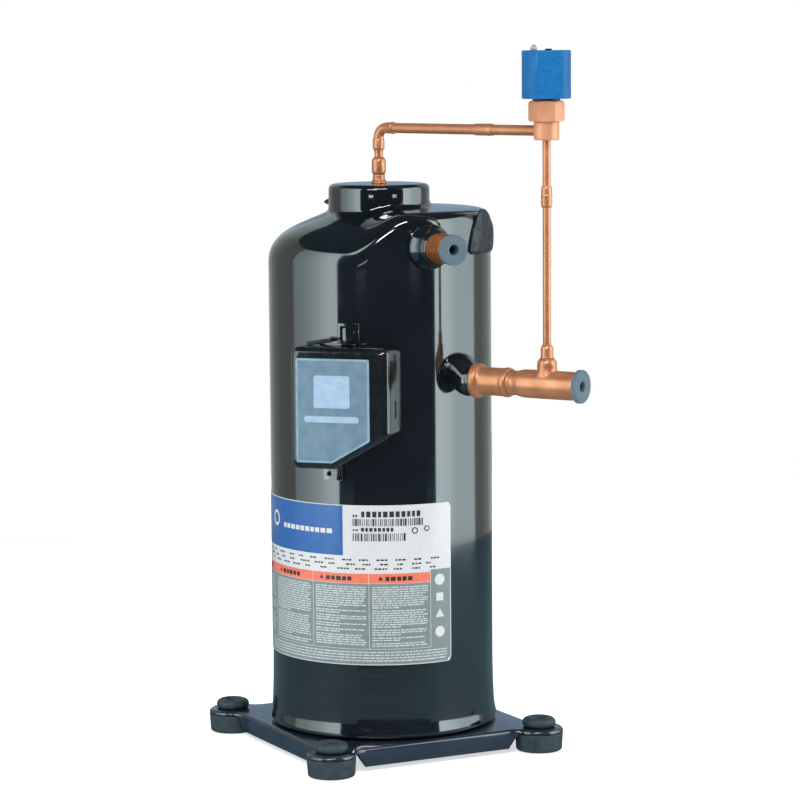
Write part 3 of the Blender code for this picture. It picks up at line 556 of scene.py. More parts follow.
def top_cap():
    """A dome that rises to a step on one side, with the neck in its middle."""
    seam = SEAM_TOP + GAP
    low_out = [
        (SHELL_R, seam), (SHELL_R, 397.0), (SHELL_R, 402.0), (90.6, 409.0), (87.6, 416.0),
        (81.0, 423.6), (71.0, 430.0), (58.0, 435.8), (47.8, 440.0), (43.6, 442.0),
        (42.0, 444.2), (NECK_R, 448.0),
    ]
    high_out = [
        (SHELL_R, seam), (SHELL_R, 412.0), (SHELL_R, 430.0), (91.0, 437.0), (88.6, 441.4),
        (83.6, 443.9), (75.0, 445.0), (62.0, 445.7), (49.5, 446.4), (44.2, 447.2),
        (42.2, 449.0), (NECK_R, 452.0),
    ]
    neck = [(NECK_R, 455.0), (NECK_R, 459.8), (41.0, 462.4), (39.4, 464.0), (37.0, NECK_TOP - 0.3)]
    neck += [(34.0, NECK_TOP)]
    flat = [(6.0, NECK_TOP), (6.0, NECK_TOP - WALL), (38.5, NECK_TOP - WALL)]
    low_in = [(38.5, 440.0), (57.0, 432.0), (78.8, 417.5), (87.3, 404.6), (88.5, 398.5), (88.5, seam)]
    high_in = [(38.5, 442.0), (61.0, 440.5), (80.0, 438.8), (87.0, 436.0), (88.5, 431.0), (88.5, seam)]
    steps = 5
    low = [*spline(low_out, steps), *spline(neck, steps), *map(Vector, flat + low_in)]
    high = [*spline(high_out, steps), *spline(neck, steps), *map(Vector, flat + high_in)]
    rings = []
    for a, b in zip(low, high):
        ring = []
        for step in range(SMOOTH):
            angle = 360.0 * step / SMOOTH
            r, z = a.lerp(b, lobe_share(angle))
            ring.append(bearing(angle, r, z))
        rings.append(ring)
    made = solid("top_cap_fine", rings, "black_gloss", 40, loop=True)
    drill(made, 12.0, *WALL_CUT, (0, 0, DISCHARGE_Z), bearing(DISCHARGE_BEARING))
    attach(made, ROOT, "black_paint", "top_cap")


def lug(name, near, rows, paint):
    """A tab round the axis from rows of (height, first bearing, last bearing, outer radius)."""
    steps = 20
    rings = []
    for z, start, end, far in spline(rows, 5):
        ring = []
        for step in range(steps + 1):
            t = step / steps
            round_off = (far - near) * 0.55 * abs(2 * t - 1) ** 6
            ring.append(bearing(start + (end - start) * t, far - round_off, z))
        ring += [bearing(start + (end - start) * (1 - step / steps), near, z)
                 for step in range(steps + 1)]
        rings.append(ring)
    return solid(name, rings, paint, 50)


def lifting_lugs():
    side = [
        (409.5, 72, 98, 93.6), (413.0, 70, 101, 94.8), (422.0, 71.5, 101, 95.4),
        (430.0, 73.5, 99, 95.4), (437.0, 76, 94, 94.4), (443.0, 79, 89, 93.4),
        (445.0, 81, 86, 92.8),
    ]
    made = lug("lifting_lug_right_fine", SHELL_R + 0.1, side, "weld_black")
    attach(made, ROOT, "black_paint", "lifting_lug_right")
    rear = [
        (446.0, 259, 267, 43.4), (448.2, 257, 269, 48.6), (449.8, 257.5, 268.5, 48.9),
        (452.3, 260, 266, 45.0),
    ]
    made = lug("lifting_lug_left_fine", NECK_R + 0.1, rear, "weld_black")
    attach(made, ROOT, "black_paint", "lifting_lug_left")


# ---- pipe connections ----


def discharge_connection():
    out = bearing(DISCHARGE_BEARING)
    origin = (0, 0, DISCHARGE_Z)
    boss = [
        (11.9, 84.0), (18.3, 84.0), (18.3, 95.6), (17.9, 97.4), (17.0, 98.8), (15.4, 101.0),
        (14.4, 104.0), (14.2, 106.6), (13.9, 108.2), (13.2, 108.8), (12.9, 110.6),
        (12.2, 111.6), (11.9, 111.6),
    ]
    made = turned("discharge_boss_fine", boss, "black_gloss", 72, origin, out, soft=0.9)
    drill(made, SHELL_R + 0.1, 380, 460, sides=SMOOTH)
    attach(made, ROOT, "black_paint", "discharge_boss")
    end = DISCHARGE_END
    stub = [
        (11.7, 84.0), (11.7, 111.8), (12.0, 112.4), (11.8, 113.6), (11.65, 118.0),
        (11.7, end - 3.0), (12.1, end - 1.2), (12.0, end),
    ]
    pipe_piece("discharge_stub", 10.5, stub, "dark_copper", slot="dark_copper", sides=72,
               origin=origin, out=out)
    plug("discharge_plug", bearing(DISCHARGE_BEARING, end, DISCHARGE_Z), out, 12.1, 10.2)


def pipe_piece(name, inner, outside, paint="copper", nodes=(), slot="copper", soft=0.5, **shape):
    """A bored, turned piece that stands for the CAD node of its name unless others are given."""
    profile = [(inner, outside[0][1]), *outside, (inner, outside[-1][1])]
    made = turned(f"{name}_fine", profile, paint, soft=soft, **shape)
    attach(made, ROOT, slot, *(nodes or [name]))


def plug(name, mouth, out, radius, stem):
    """A rubber shipping plug with a crowned flange and a moulded centre hole."""
    profile = [
        (4.0, -12.0), (stem - 0.6, -12.0), (stem, -10.5), (stem, GAP), (radius, GAP),
        (radius, 3.6), (radius - 0.7, 4.3), (5.2, 4.3), (4.2, 3.9), (4.0, 2.8),
    ]
    made = turned(f"{name}_fine", profile, "plug_rubber", 72, mouth, out, soft=0.5)
    attach(made, f"{name}_body", "grey_rubber", name)


def along_suction(distance):
    return SUCTION_START + SUCTION_RUN * distance


def suction_connection():
    path = [bearing(SUCTION_BEARING, r, SUCTION_PORT_Z) for r in (78, 88, 93)]
    path += [bearing(SUCTION_BEARING - 0.6, 98, SUCTION_PORT_Z - 1.6)]
    path += [along_suction(d) for d in (-9.5, -6.2, -3.3)]
    radii = (15.4, 15.4, 15.1, 13.5, 12.6, 12.4, 12.4)
    route = spline([(*p, r) for p, r in zip(path, radii)], 6)
    made = swept("suction_stub_fine", [p.xyz for p in route], [p[3] for p in route], 11.4,
                 "black_gloss", 64)
    drill(made, SHELL_R + 0.1, 280, 340, sides=SMOOTH)
    attach(made, ROOT, "black_paint", "suction_stub")

    coupling = [
        (11.2, -5.5), (11.2, -3.2), (13.2, -3.1), (14.0, -1.4), (14.1, 0.8), (13.5, 2.8),
        (12.2, 3.9), (11.35, 5.2), (11.2, 8.0), (11.25, 18.0), (11.3, 24.2), (11.9, 26.4),
        (11.95, 28.0), (11.6, 29.4), (11.0, 30.2),
    ]
    pipe_piece("suction_coupling", 10.0, coupling, soft=0.7, sides=72, origin=SUCTION_START,
               out=SUCTION_RUN)

    tee = [
        (8.6, 30.3), (10.7, 30.3), (10.2, 32.0), (9.75, 34.0), (9.7, 36.0), (10.2, 38.4),
        (10.95, 41.0), (11.3, 44.6), (11.35, 54.0), (TEE_R, 72.0), (11.35, 84.0), (11.15, 89.0),
        (11.1, TEE_END_AT), (10.0, TEE_END_AT), (10.0, 44.0),
    ]
    made = turned("suction_tee_fine", tee, "copper", 96, SUCTION_START, SUCTION_RUN, soft=1.2)
    spot = along_suction(TEE_BRANCH_AT)
    branch = [
        (10.6, 319.4), (9.2, 320.6), (8.2, 322.0), (7.8, 323.6), (7.85, 325.6), (7.8, 327.8),
        (7.2, 329.6), (6.2, 330.9), (5.3, 331.7),
    ]
    flat = Vector((spot.x, spot.y, 0))
    rings = circle_rings(soften(branch, 0.8), 64, flat, Matrix.Identity(3))
    wrap_on_pipe(rings, 8, spot)
    combine(made, solid("tee_branch", rings, "copper"), "UNION")
    drill(made, 3.6, 312.0, 340.0, flat, sides=40)
    attach(made, ROOT, "copper", "suction_tee")
    plug("suction_plug", along_suction(TEE_END_AT), SUCTION_RUN, 13.3, 9.7)


def wrap_on_pipe(rings, count, spot):
    """Bends the foot of the branch down over the round pipe so that it blends in."""
    side = Vector((-SUCTION_RUN.y, SUCTION_RUN.x, 0))
    for index, ring in enumerate(rings[:count]):
        fade = 1.0 - index / count
        for point in ring:
            across = (point - spot).xy.dot(side.xy)
            drop = TEE_R - math.sqrt(max(TEE_R**2 - across**2, 0.0))
            point.z -= drop * fade


# ---- bypass line ----


def riser():
    """The upright pieces on the cap, the elbow above them and the level tube to the valve."""
    pipe_piece("port_fitting", RISER_BORE, [
        (5.7, 456.0), (5.7, NECK_TOP + 0.1), (6.7, NECK_TOP + 0.2), (6.3, 466.4), (5.3, 467.6),
        (4.95, 469.6), (5.0, 471.4), (4.6, 472.4),
    ])
    pipe_piece("riser_coupling", RISER_BORE, [
        (5.1, 472.5), (5.6, 473.6), (5.85, 475.4), (5.85, 481.6), (5.7, 483.8), (4.9, 485.4),
        (4.0, 486.3),
    ])
    neck = [(3.5, 486.4), (3.4, 488.4), (3.6, 490.6), (3.9, 492.2)]
    pipe_piece("riser_neck", RISER_BORE, neck)
    out = VALVE_SPOT.xy.normalized()
    centre_z = BYPASS_Z - ELBOW_R
    path = [(0, 0, z) for z in (492.3, 493.2, 494.2, 500.4, 501.2, 501.6)]
    radii = [4.3, 4.75, 4.85, 4.85, 4.6, LEVEL_R]
    steps = 18
    for step in range(1, steps + 1):
        angle = math.radians(90.0 * step / steps)
        flat = ELBOW_R * (1 - math.cos(angle))
        path.append((out.x * flat, out.y * flat, centre_z + ELBOW_R * math.sin(angle)))
        radii.append(LEVEL_R)
    collar = ((8.9, 4.2), (9.3, 4.5), (9.8, 4.6), (15.4, 4.7), (16.0, 5.0), (16.6, 5.0), (17.2, 4.6))
    for distance, radius in collar:
        path.append((out.x * distance, out.y * distance, BYPASS_Z))
        radii.append(radius)
    made = swept("bypass_elbow_fine", path, radii, LEVEL_BORE, "copper", 48)
    attach(made, ROOT, "copper", "bypass_elbow")
    reach = VALVE_SPOT.xy.length
    level = {"sides": 48, "origin": (0, 0, BYPASS_Z), "out": (*out, 0)}
    tube = [(LEVEL_R, 17.0), (LEVEL_R, reach - 9.4), (4.5, reach - 9.2)]
    nodes = ("bypass_tube_inner", "bypass_tube_outer")
    pipe_piece("bypass_tube", LEVEL_BORE, tube, nodes=nodes, soft=0.3, **level)
    joint = 113.0
    sheath = [
        (4.5, joint - 9), (4.75, joint - 8.2), (4.75, joint + 4.6), (5.0, joint + 5.4),
        (4.75, joint + 6.4), (4.7, joint + 9.2), (4.4, joint + 10),
    ]
    pipe_piece("bypass_coupling", LEVEL_R + 0.01, sheath, soft=0.4, **level)


def drop_line():
    """The reducer on the tee, and the thin tube from it up to the valve."""
    spot = (VALVE_SPOT.x, VALVE_SPOT.y, 0)
    reducer = [
        (5.3, 331.8), (5.0, 332.8), (4.95, 336.0), (5.05, 339.0), (4.6, 340.6), (3.8, 341.8),
        (3.3, 342.4),
    ]
    pipe_piece("branch_reducer", DROP_BORE, reducer, soft=0.7, origin=spot)
    nodes = ("drop_tube_lower", "drop_tube_upper")
    tube = [(DROP_R, 342.0), (DROP_R, 502.9)]
    pipe_piece("drop_tube", DROP_BORE, tube, nodes=nodes, sides=40, origin=spot)
    coupling = [
        (3.25, 450.4), (3.6, 450.2), (4.3, 451.6), (4.4, 454.0), (4.35, 458.0), (4.6, 458.9),
        (4.6, 459.9), (4.3, 460.6), (4.3, 464.4), (4.1, 466.0), (3.6, 467.2), (3.25, 467.2),
    ]
    made = turned("drop_coupling_fine", coupling, "copper", 48, spot, soft=0.5)
    attach(made, ROOT, "copper", "drop_coupling")


def valve():
    spot = Vector((VALVE_SPOT.x, VALVE_SPOT.y, 0))
    body = [
        (4.2, 502.9), (4.4, 503.2), (9.3, 503.1), (10.0, 503.8), (10.0, 516.9), (9.8, 517.3),
        (6.2, 517.3), (6.2, 508.0),
    ]
    pipe_piece("valve_body", 2.5, body, "valve_copper", sides=72, origin=spot)
    nut = hexagon("valve_bonnet_fine", "valve_copper", spot, corner=14.2, hole=6.3, low=517.5,
                  high=533.8, turn=NUT_TURN)
    attach(nut, ROOT, "copper", "valve_bonnet")
    gasket = [(10.9, 533.9), (10.9, 535.1)]
    pipe_piece("coil_gasket", 7.8, gasket, "box_plastic", slot="grey_rubber", origin=spot)
    solenoid_coil(spot)


def hexagon(name, paint, spot, corner, hole, low, high, turn):
    """A bored hexagon nut: six flats met by a turned chamfer at both ends."""
    sides = 72
    sector = math.pi / 3
    chamfer = [(low, 1.3), (low + 0.5, 0.7), (low + 1.6, 0.0), (high - 2.2, 0.0)]
    chamfer += [(high - 1.1, 0.5), (high - 0.4, 1.2), (high, 2.0)]
    levels = [(z, corner - cut) for z, cut in chamfer] + [(high, hole), (low, hole)]
    rings = []
    for z, cap in levels:
        ring = []
        for i in range(sides):
            angle = 2 * math.pi * i / sides
            flat = corner * math.cos(sector / 2) / math.cos(angle % sector - sector / 2)
            spoke = angle + math.radians(turn)
            ring.append(spot + Vector((math.cos(spoke), math.sin(spoke), 0)) * min(flat, cap))
            ring[-1].z = z
        rings.append(ring)
    return solid(name, rings, paint, 25, loop=True)


def coil_plan(radius, flat, steps=28):
    """Points round a circle cut by two flats."""
    swing = math.acos(flat / radius)
    made = []
    for side in (0.0, math.pi):
        for step in range(steps + 1):
            angle = side + swing + (math.pi - 2 * swing) * step / steps
            made.append(Vector((radius * math.sin(angle), -radius * math.cos(angle))))
    return made


def solenoid_coil(spot):
    """The coil with its pads, screw and clip, and the stem that it turns on."""
    low, high = COIL_LOW.z, COIL_HIGH.z
    part = low + 0.6 * (high - low)
    radius, flat = 19.3, 16.0
    edge = 0.7
    levels = [
        (low, edge), (low + 0.3, 0.25), (low + edge, 0.0), (part - 0.7, 0.05), (part - 0.25, -0.12),
        (part + 0.25, -0.12), (part + 0.7, 0.05), (high - edge, 0.0), (high - 0.3, 0.25),
        (high, edge),
    ]
    turn = Matrix.Rotation(math.radians(COIL_TURN), 2)
    rings = []
    for z, inset in levels:
        ring = []
        for point in coil_plan(radius, flat):
            moved = turn @ (point * ((radius - inset) / radius))
            ring.append((spot.x + moved.x, spot.y + moved.y, z))
        rings.append(ring)
    made = solid("solenoid_coil_fine", rings, "coil_blue", 30)
    drill(made, 7.7, 520.0, 590.0, spot, sides=40)
    attach(made, "coil", "coil_plastic", "solenoid_coil")
    for side, sign in (("front", 1), ("back", -1)):
        coil_face(side, sign, spot, flat, low, part, high)
    screw = Vector((spot.x - 9.4, spot.y - 3.0, 0))
    profile = [(0.4, 572.9), (2.6, 572.9), (2.6, 575.0), (2.2, 575.6), (1.7, 575.8), (1.7, 577.1),
               (1.2, 577.4), (0.4, 577.4)]
    made = turned("coil_screw_fine", profile, "zinc_steel", 32, screw, soft=0.3)
    attach(made, "coil", "steel", "coil_screw")
    clip = slab("coil_clip", (spot.x + 2.0, spot.y - 11.5, high + 0.05),
                (spot.x + 7.0, spot.y - 8.6, high + 1.3), "box_plastic", 0.3)
    attach(clip, "coil", "grey_rubber")
    stem = [(5.8, 569.6), (5.8, 534.2), (7.4, 534.2), (7.4, 571.4), (6.6, 572.4)]
    pipe_piece("valve_stem", 0.4, stem, "bare_steel", slot="steel", origin=spot)


def coil_face(side, sign, spot, flat, low, part, high):
    """A rough cast pad on one flat of the coil, split by the mould's parting line."""
    half = 10.3
    columns, rows = 24, 40
    dice = random.Random(7 + sign)
    lumps = {}
    bm = bmesh.new()
    turn = Matrix.Rotation(math.radians(COIL_TURN), 2)
    margin = 0.9
    for front in (True, False):
        for i in range(columns + 1):
            for j in range(rows + 1):
                x = -half + 2 * half * i / columns
                z = low + margin + (high - low - 2 * margin) * j / rows
                inside = min(1, i, columns - i, j, rows - j)
                lift = inside * (0.28 + 0.12 * dice.random()) if front else 0.0
                if front and abs(z - part) < 0.8:
                    lift += 0.25
                y = -sign * (flat - 0.2 + lift)
                moved = turn @ Vector((x, y))
                lumps[front, i, j] = bm.verts.new((spot.x + moved.x, spot.y + moved.y, z))
    for front in (True, False):
        for i in range(columns):
            for j in range(rows):
                corners = [(i, j), (i + 1, j), (i + 1, j + 1), (i, j + 1)]
                bm.faces.new([lumps[front, *c] for c in corners])
    border = [(i, 0) for i in range(columns)] + [(columns, j) for j in range(rows)]
    border += [(i, rows) for i in range(columns, 0, -1)] + [(0, j) for j in range(rows, 0, -1)]
    for a, b in zip(border, border[1:] + border[:1]):
        bm.faces.new([lumps[True, *a], lumps[True, *b], lumps[False, *b], lumps[False, *a]])
    made = store(f"coil_pad_{side}", bm, "coil_cast", 60)
    attach(made, "coil", "coil_plastic")


# ---- terminal box ----


def box_corners(low, high, cut_x, cut_z):
    """The box's five-sided front, with its lower right corner cut off."""
    return [
        (low.x, low.z), (cut_x, low.z), (high.x, cut_z), (high.x, high.z), (low.x, high.z),
    ]


def outline_ring(corners, inset, radius, y, steps=8):
    """A rounded polygon drawn in by an inset, as a ring of points in one XZ plane."""
    count = len(corners)
    moved = []
    for i in range(count):
        a, b, c = (Vector(corners[(i + k) % count]) for k in (-1, 0, 1))
        back, on = (b - a).normalized(), (c - b).normalized()
        normal_back, normal_on = Vector((-back.y, back.x)), Vector((-on.y, on.x))
        bisector = (normal_back + normal_on).normalized()
        moved.append(b + bisector * (inset / max(0.2, bisector.dot(normal_on))))
    ring = []
    for i in range(count):
        a, b, c = moved[i - 1], moved[i], moved[(i + 1) % count]
        back, on = (a - b).normalized(), (c - b).normalized()
        half = math.acos(max(-1.0, min(1.0, back.dot(on)))) / 2
        middle = b + (back + on).normalized() * (radius / math.sin(half))
        start = b + back * (radius / math.tan(half)) - middle
        end = b + on * (radius / math.tan(half)) - middle
        sweep = math.atan2(start.x * end.y - start.y * end.x, start.dot(end))
        for step in range(steps + 1):
            point = middle + Matrix.Rotation(sweep * step / steps, 2) @ start
            ring.append(Vector((point.x, y, point.y)))
    return ring


def box_cover():
    """An open box with a rounded front, cut to the shell behind and with a latch slot."""
    low, high = COVER_LOW - AXIS, COVER_HIGH - AXIS
    corners = box_corners(low, high, -3.0, 269.3)
    front, back = low.y, -60.0
    edge = 6.0
    corner_r = 6.4
    rings = [outline_ring(corners, 2.2, 3.4, y) for y in (front + 2.0, back)]
    rings += [outline_ring(corners, 0.0, corner_r, back)]
    steps = 8
    for step in range(steps + 1):
        angle = math.radians(90 * step / steps)
        inset = edge * (1 - math.cos(angle))
        y = front + edge * (1 - math.sin(angle))
        rings.append(outline_ring(corners, inset, corner_r - inset * 0.6, y))
    made = solid("terminal_box_cover_fine", rings, "box_plastic", 30)
    drill(made, SHELL_R + 0.5, 200, 380, sides=SMOOTH)
    latch = slab("latch_cut", (high.x - 1.1, front + 16.5, 283), (high.x + 2, front + 20.5, 297),
                 "box_plastic", 0.4)
    combine(made, latch)
    attach(made, "box_cover", "box_plastic", "terminal_box_cover")


def slab(name, low, high, paint, edge=0.5, tilt=0.0):
    """A block with rounded edges, tilted in the XZ plane by some degrees."""
    bm = bmesh.new()
    bmesh.ops.create_cube(bm, size=1.0)
    low, high = Vector(low), Vector(high)
    for vertex in bm.verts:
        for axis in range(3):
            vertex.co[axis] = low[axis] if vertex.co[axis] < 0 else high[axis]
    bmesh.ops.bevel(bm, geom=bm.edges[:], offset=edge, segments=3, affect="EDGES", profile=0.5)
    turn = Matrix.Rotation(math.radians(-tilt), 3, "Y")
    bmesh.ops.rotate(bm, verts=bm.verts[:], cent=(low + high) / 2, matrix=turn)
    return store(name, bm, paint, 50)


def panel():
    low, high = PANEL_LOW - AXIS, PANEL_HIGH - AXIS
    corners = box_corners(low, high, -3.6, 266.2)
    back, front = high.y + 0.2, low.y
    border = 1.5
    rings = [outline_ring(corners, 0.0, 1.6, back), outline_ring(corners, 0.0, 1.6, front + 0.3)]
    rings += [outline_ring(corners, 0.3, 1.4, front), outline_ring(corners, border, 0.8, front)]
    rings += [outline_ring(corners, border + 0.3, 0.6, front + 0.25)]
    made = solid("cover_panel_fine", rings, "panel_rim", 30)
    attach(made, "box_cover", "panel_silver", "cover_panel")
    rings = [outline_ring(corners, border + 0.25, 0.6, y) for y in (front + 0.4, front + 0.2)]
    attach(solid("panel_field", rings, "panel_face", 30), "box_cover", "panel_silver")
    for name, (x0, z0, x1, z1) in {
        "panel_mark_block": (-18.5, 292.0, 11.5, 318.0),
        "panel_mark_bar": (-26.5, 280.5, 19.0, 285.5),
    }.items():
        plain = [(x0, z0), (x1, z0), (x1, z1), (x0, z1)]
        rings = [outline_ring(plain, 0.0, 2.0, y) for y in (front + 0.25, front + 0.12)]
        attach(solid(name, rings, "panel_mark", 30), "box_cover", "panel_silver")


def box_base():
    """The tray behind the cover keeps its CAD shape; only the brackets outside it are redrawn."""
    back = -(SHELL_R + 0.3)
    top = COVER_HIGH.z + GAP
    clip = slab("box_clip_fine", (-5, back - 2.4, top), (13, back, 358.0), "black_gloss", 0.5)
    window = slab("window_cut", (-1.5, back - 8, 343.0), (9.5, back + 8, 354.0), "black_gloss", 1.0)
    combine(clip, window)
    attach(clip, ROOT, "black_paint", "box_clip")
    tab = slab("box_tab_fine", (-18, back - 2.4, 231.5), (-3.2, back - 0.2, 242.4), "zinc_steel", 0.4)
    drill(tab, 2.1, -10, 10, (-13.2, back, 236.7), (0, -1, 0), sides=32)
    attach(tab, ROOT, "steel", "box_tab")
    details = {
        "clip_plate": ((-1.2, back - 1.6, 342.6), (9.2, back - 0.9, 354.4), "black_gloss", 0.3),
        "clip_lip": ((-4, back - 9.0, top), (12, back - 0.6, top + 1.8), "black_gloss", 0.3),
        "clip_arm": ((-14, back - 4.6, top + 4.4), (-3, back - 1.2, top + 6.2), "black_gloss", 0.3),
        "clip_bar": ((-30, back - 6.0, top + 0.9), (-9, back - 3.4, top + 4.2), "weld_black", 0.6, 9),
        "tab_fin": ((-5.6, back - 7.0, 232.0), (-3.2, back - 1.0, 242.0), "black_gloss", 0.4),
    }
    for name, block in details.items():
        attach(slab(name, *block), ROOT, "black_paint")


# ---- label ----


class Label:
    """Thin printed patches laid on the shell, in bearings and heights."""

    def __init__(self, name, paints, lift):
        self.name = name
        self.paints = paints
        self.bm = bmesh.new()
        self.radius = SHELL_R + GAP + lift

    def patch(self, start, end, low, high, paint):
        """One printed rectangle, curved with the shell."""
        steps = max(1, math.ceil(end - start))
        index = self.paints.index(paint)
        before = None
        for step in range(steps + 1):
            angle = start + (end - start) * step / steps
            pair = [self.bm.verts.new(bearing(angle, self.radius, z)) for z in (low, high)]
            if before:
                face = self.bm.faces.new((before[0], pair[0], pair[1], before[1]))
                face.material_index = index
            before = pair

    def disc(self, angle, z, radius, paint, sides=28):
        """A printed disc or, with fewer sides, a polygon. A smaller one lies over a larger one."""
        lift = 0.3 / radius
        ring = []
        for step in range(sides):
            turn = 2 * math.pi * (step + 0.5) / sides
            around = math.degrees(radius * math.sin(turn) / self.radius)
            spot = bearing(angle + around, self.radius + lift, z - radius * math.cos(turn))
            ring.append(self.bm.verts.new(spot))
        self.bm.faces.new(ring).material_index = self.paints.index(paint)

    def finish(self):
        made = store(self.name, self.bm, self.paints[0], 60)
        for paint in self.paints[1:]:
            made.data.materials.append(PAINTS[paint])
        return attach(made, ROOT, "label_paper")


def label_sheet():
    """The paper with its rounded corners, the blue, orange and grey fields and a generic print."""
    near, far = SHELL_R + 0.05, SHELL_R + GAP + 0.02
    low, high = LABEL_LOW.z, LABEL_HIGH.z
    steps = 140
    corner = 3.5
    rings = []
    for step in range(steps + 1):
        angle = LABEL_START + (LABEL_END - LABEL_START) * step / steps
        edge = math.radians(min(angle - LABEL_START, LABEL_END - angle)) * SHELL_R
        cut = corner - math.sqrt(max(corner**2 - max(corner - edge, 0.0) ** 2, 0.0))
        rings.append([
            bearing(angle, near, low + cut), bearing(angle, far, low + cut),
            bearing(angle, far, high - cut), bearing(angle, near, high - cut),
        ])
    made = solid("nameplate_fine", rings, "label_white", 50)
    attach(made, ROOT, "label_paper", "nameplate")

    fields = Label("label_fields", ["label_blue", "label_orange", "label_grey"], 0.12)
    inset = 0.8
    fields.patch(LABEL_START + inset, -2.0, 170.4, high - 0.7, "label_blue")
    fields.patch(LABEL_START + inset, DIVIDERS[-1], 148.0, 155.8, "label_orange")
    fields.patch(LABEL_START + inset, DIVIDERS[-1], low + 0.7, 147.6, "label_grey")
    fields.patch(DIVIDERS[-1], LABEL_END - 2.0, low + 0.7, 157.6, "label_grey")
    fields.patch(LABEL_END - 2.0, LABEL_END - 0.5, low + 3.0, 157.6, "label_grey")
    fields.finish()
    label_print(low)


def label_print(low):
    """Rows of plain bars in place of words, with no lettering at all."""
    made = Label("label_print", ["label_ink", "label_faint", "label_white", "label_blue"], 0.2)
    dice = random.Random(11)

    def words(start, end, z, height, paint, shortest=1.4, longest=5.0, gap=0.8):
        at = start
        while at < end - shortest:
            width = dice.uniform(shortest, longest)
            made.patch(at, min(at + width, end), z, z + height, paint)
            at += width + gap

    def bars(start, end, z, height):
        at = start
        while at < end:
            width = dice.choice((0.3, 0.5, 0.9))
            made.patch(at, at + width, z, z + height, "label_ink")
            at += width + dice.choice((0.35, 0.55, 0.8))

    for angle, z, outer, inner, rim, field in (
        (-51.0, 193.6, 6.6, 4.2, "label_white", "label_blue"),
        (34.8, 190.4, 2.6, 1.7, "label_ink", "label_white"),
        (41.2, 191.6, 2.3, 1.5, "label_ink", "label_white"),
    ):
        made.disc(angle, z, outer, rim)
        made.disc(angle, z, inner, field)
    words(-42.0, -6.0, 187.8, 3.8, "label_white", 1.8, 3.4, 0.8)
    words(3.3, 6.8, 202.0, 1.6, "label_ink", 0.8, 1.6, 0.5)
    words(7.8, 40.0, 201.8, 4.6, "label_ink", 1.5, 2.3, 0.9)
    bars(3.3, 39.2, 194.6, 5.8)
    words(3.3, 6.6, 190.6, 1.3, "label_ink", 0.8, 1.6, 0.5)
    words(7.6, 24.4, 190.2, 3.0, "label_ink", 1.2, 1.8, 0.7)
    bars(3.3, 29.7, 182.4, 6.2)

    for row, z in enumerate((166.4, 162.8, 159.2)):
        at = LABEL_START + 5.0 + 2.0 * row
        while at < 48.0:
            words(at, at + dice.uniform(3.0, 6.4), z, 1.2, "label_ink", 0.7, 1.8, 0.5)
            at += dice.uniform(7.5, 10.0)

    starts = (LABEL_START + 4.0,) + DIVIDERS
    for start, end in zip(starts, DIVIDERS):
        middle = (start + end) / 2
        words(middle - 7.5, middle + 8.5, 150.0, 3.4, "label_ink", 1.8, 2.8, 0.7)
        made.disc(middle - 10.0, 151.7, 2.2, "label_ink", 3)
        row = 144.4
        while row > low + 15.0:
            part = dice.choice((1.0, 1.0, 1.0, 0.97, 0.93, 0.5))
            words(start + 1.6, start + 1.6 + (end - start - 3.2) * part, row, 0.85, "label_faint",
                  0.8, 4.0, 0.5)
            row -= 1.85 if part > 0.6 else 2.7
    for line in DIVIDERS:
        made.patch(line - 0.12, line + 0.12, low + 13.2, 155.8, "label_white")
    made.patch(LABEL_START + 2.0, DIVIDERS[-1], low + 13.0, low + 13.35, "label_white")
    for row in range(4):
        words(LABEL_START + 4.0, LABEL_END - 3.0, low + 3.2 + 2.3 * row, 0.9, "label_faint",
              0.8, 3.6, 0.5)
    for index, sides in enumerate((24, 4, 3, 8)):
        made.disc(48.3, 149.0 - 14.2 * index, 4.6, "label_white", sides)
    made.finish()


# ---- CAD nodes that keep their shape ----

KEPT = {
    "box_plastic": ["terminal_box_base"],
    "bare_steel": [
        "hermetic_terminal", "valve_plunger", "plunger_spring", "stator_core", "rotor",
        "crankshaft", "oldham_ring", "floating_seal", "partition_plate", "discharge_valve_disc",
    ],
    "winding": ["winding_upper", "winding_lower"],
    "bronze": ["counterweight_upper", "counterweight_lower", "drive_bush"],
    "cast_iron": [
        "main_bearing_housing", "lower_bearing_bracket", "orbiting_scroll", "fixed_scroll",
    ],
}


def paint_kept_nodes():
    for paint, names in KEPT.items():
        for name in names:
            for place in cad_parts[name].material_slots:
                place.material = PAINTS[paint]


# ---- studio ----


FLOOR_REACH = 1.6


def disc(name, height, low, high, own=0.0, gap=None):
    """A round piece of floor of two nearly equal shades and some glow of its own.

    A gap is a shorter reach and the bearings between which it holds.
    """
    paint = Paint(name, low, 0.8, Emission_Color=(1, 1, 1, 1), Emission_Strength=own)
    paint.drive("Base Color", paint.ramp(paint.noise(400, 2.0), low, high))
    bm = bmesh.new()
    near, start, end = gap or (FLOOR_REACH, 0, 0)
    ring = []
    for angle in range(-180, 180, 2):
        radius = near if start < angle < end else FLOOR_REACH
        spot = bearing(angle, radius / MM) * MM
        ring.append(bm.verts.new((spot.x, spot.y, 0)))
    bm.faces.new(ring)
    made = to_object(name, bm, paint.material)
    made.location.z = height
    return made


def floor():
    """A pale floor for the camera, and a dimmer bluish one that only the gloss reflects."""
    seen = disc("studio_floor", -0.0006, (0.85, 0.85, 0.85), (0.87, 0.87, 0.87), 0.62)
    seen.visible_glossy = False
    mirrored = disc("floor_in_gloss", -0.0003, (0.075, 0.13, 0.165), (0.085, 0.145, 0.18),
                    gap=(0.47, -9, 64))
    mirrored.visible_camera = False
    mirrored.visible_diffuse = False
    mirrored.visible_shadow = False


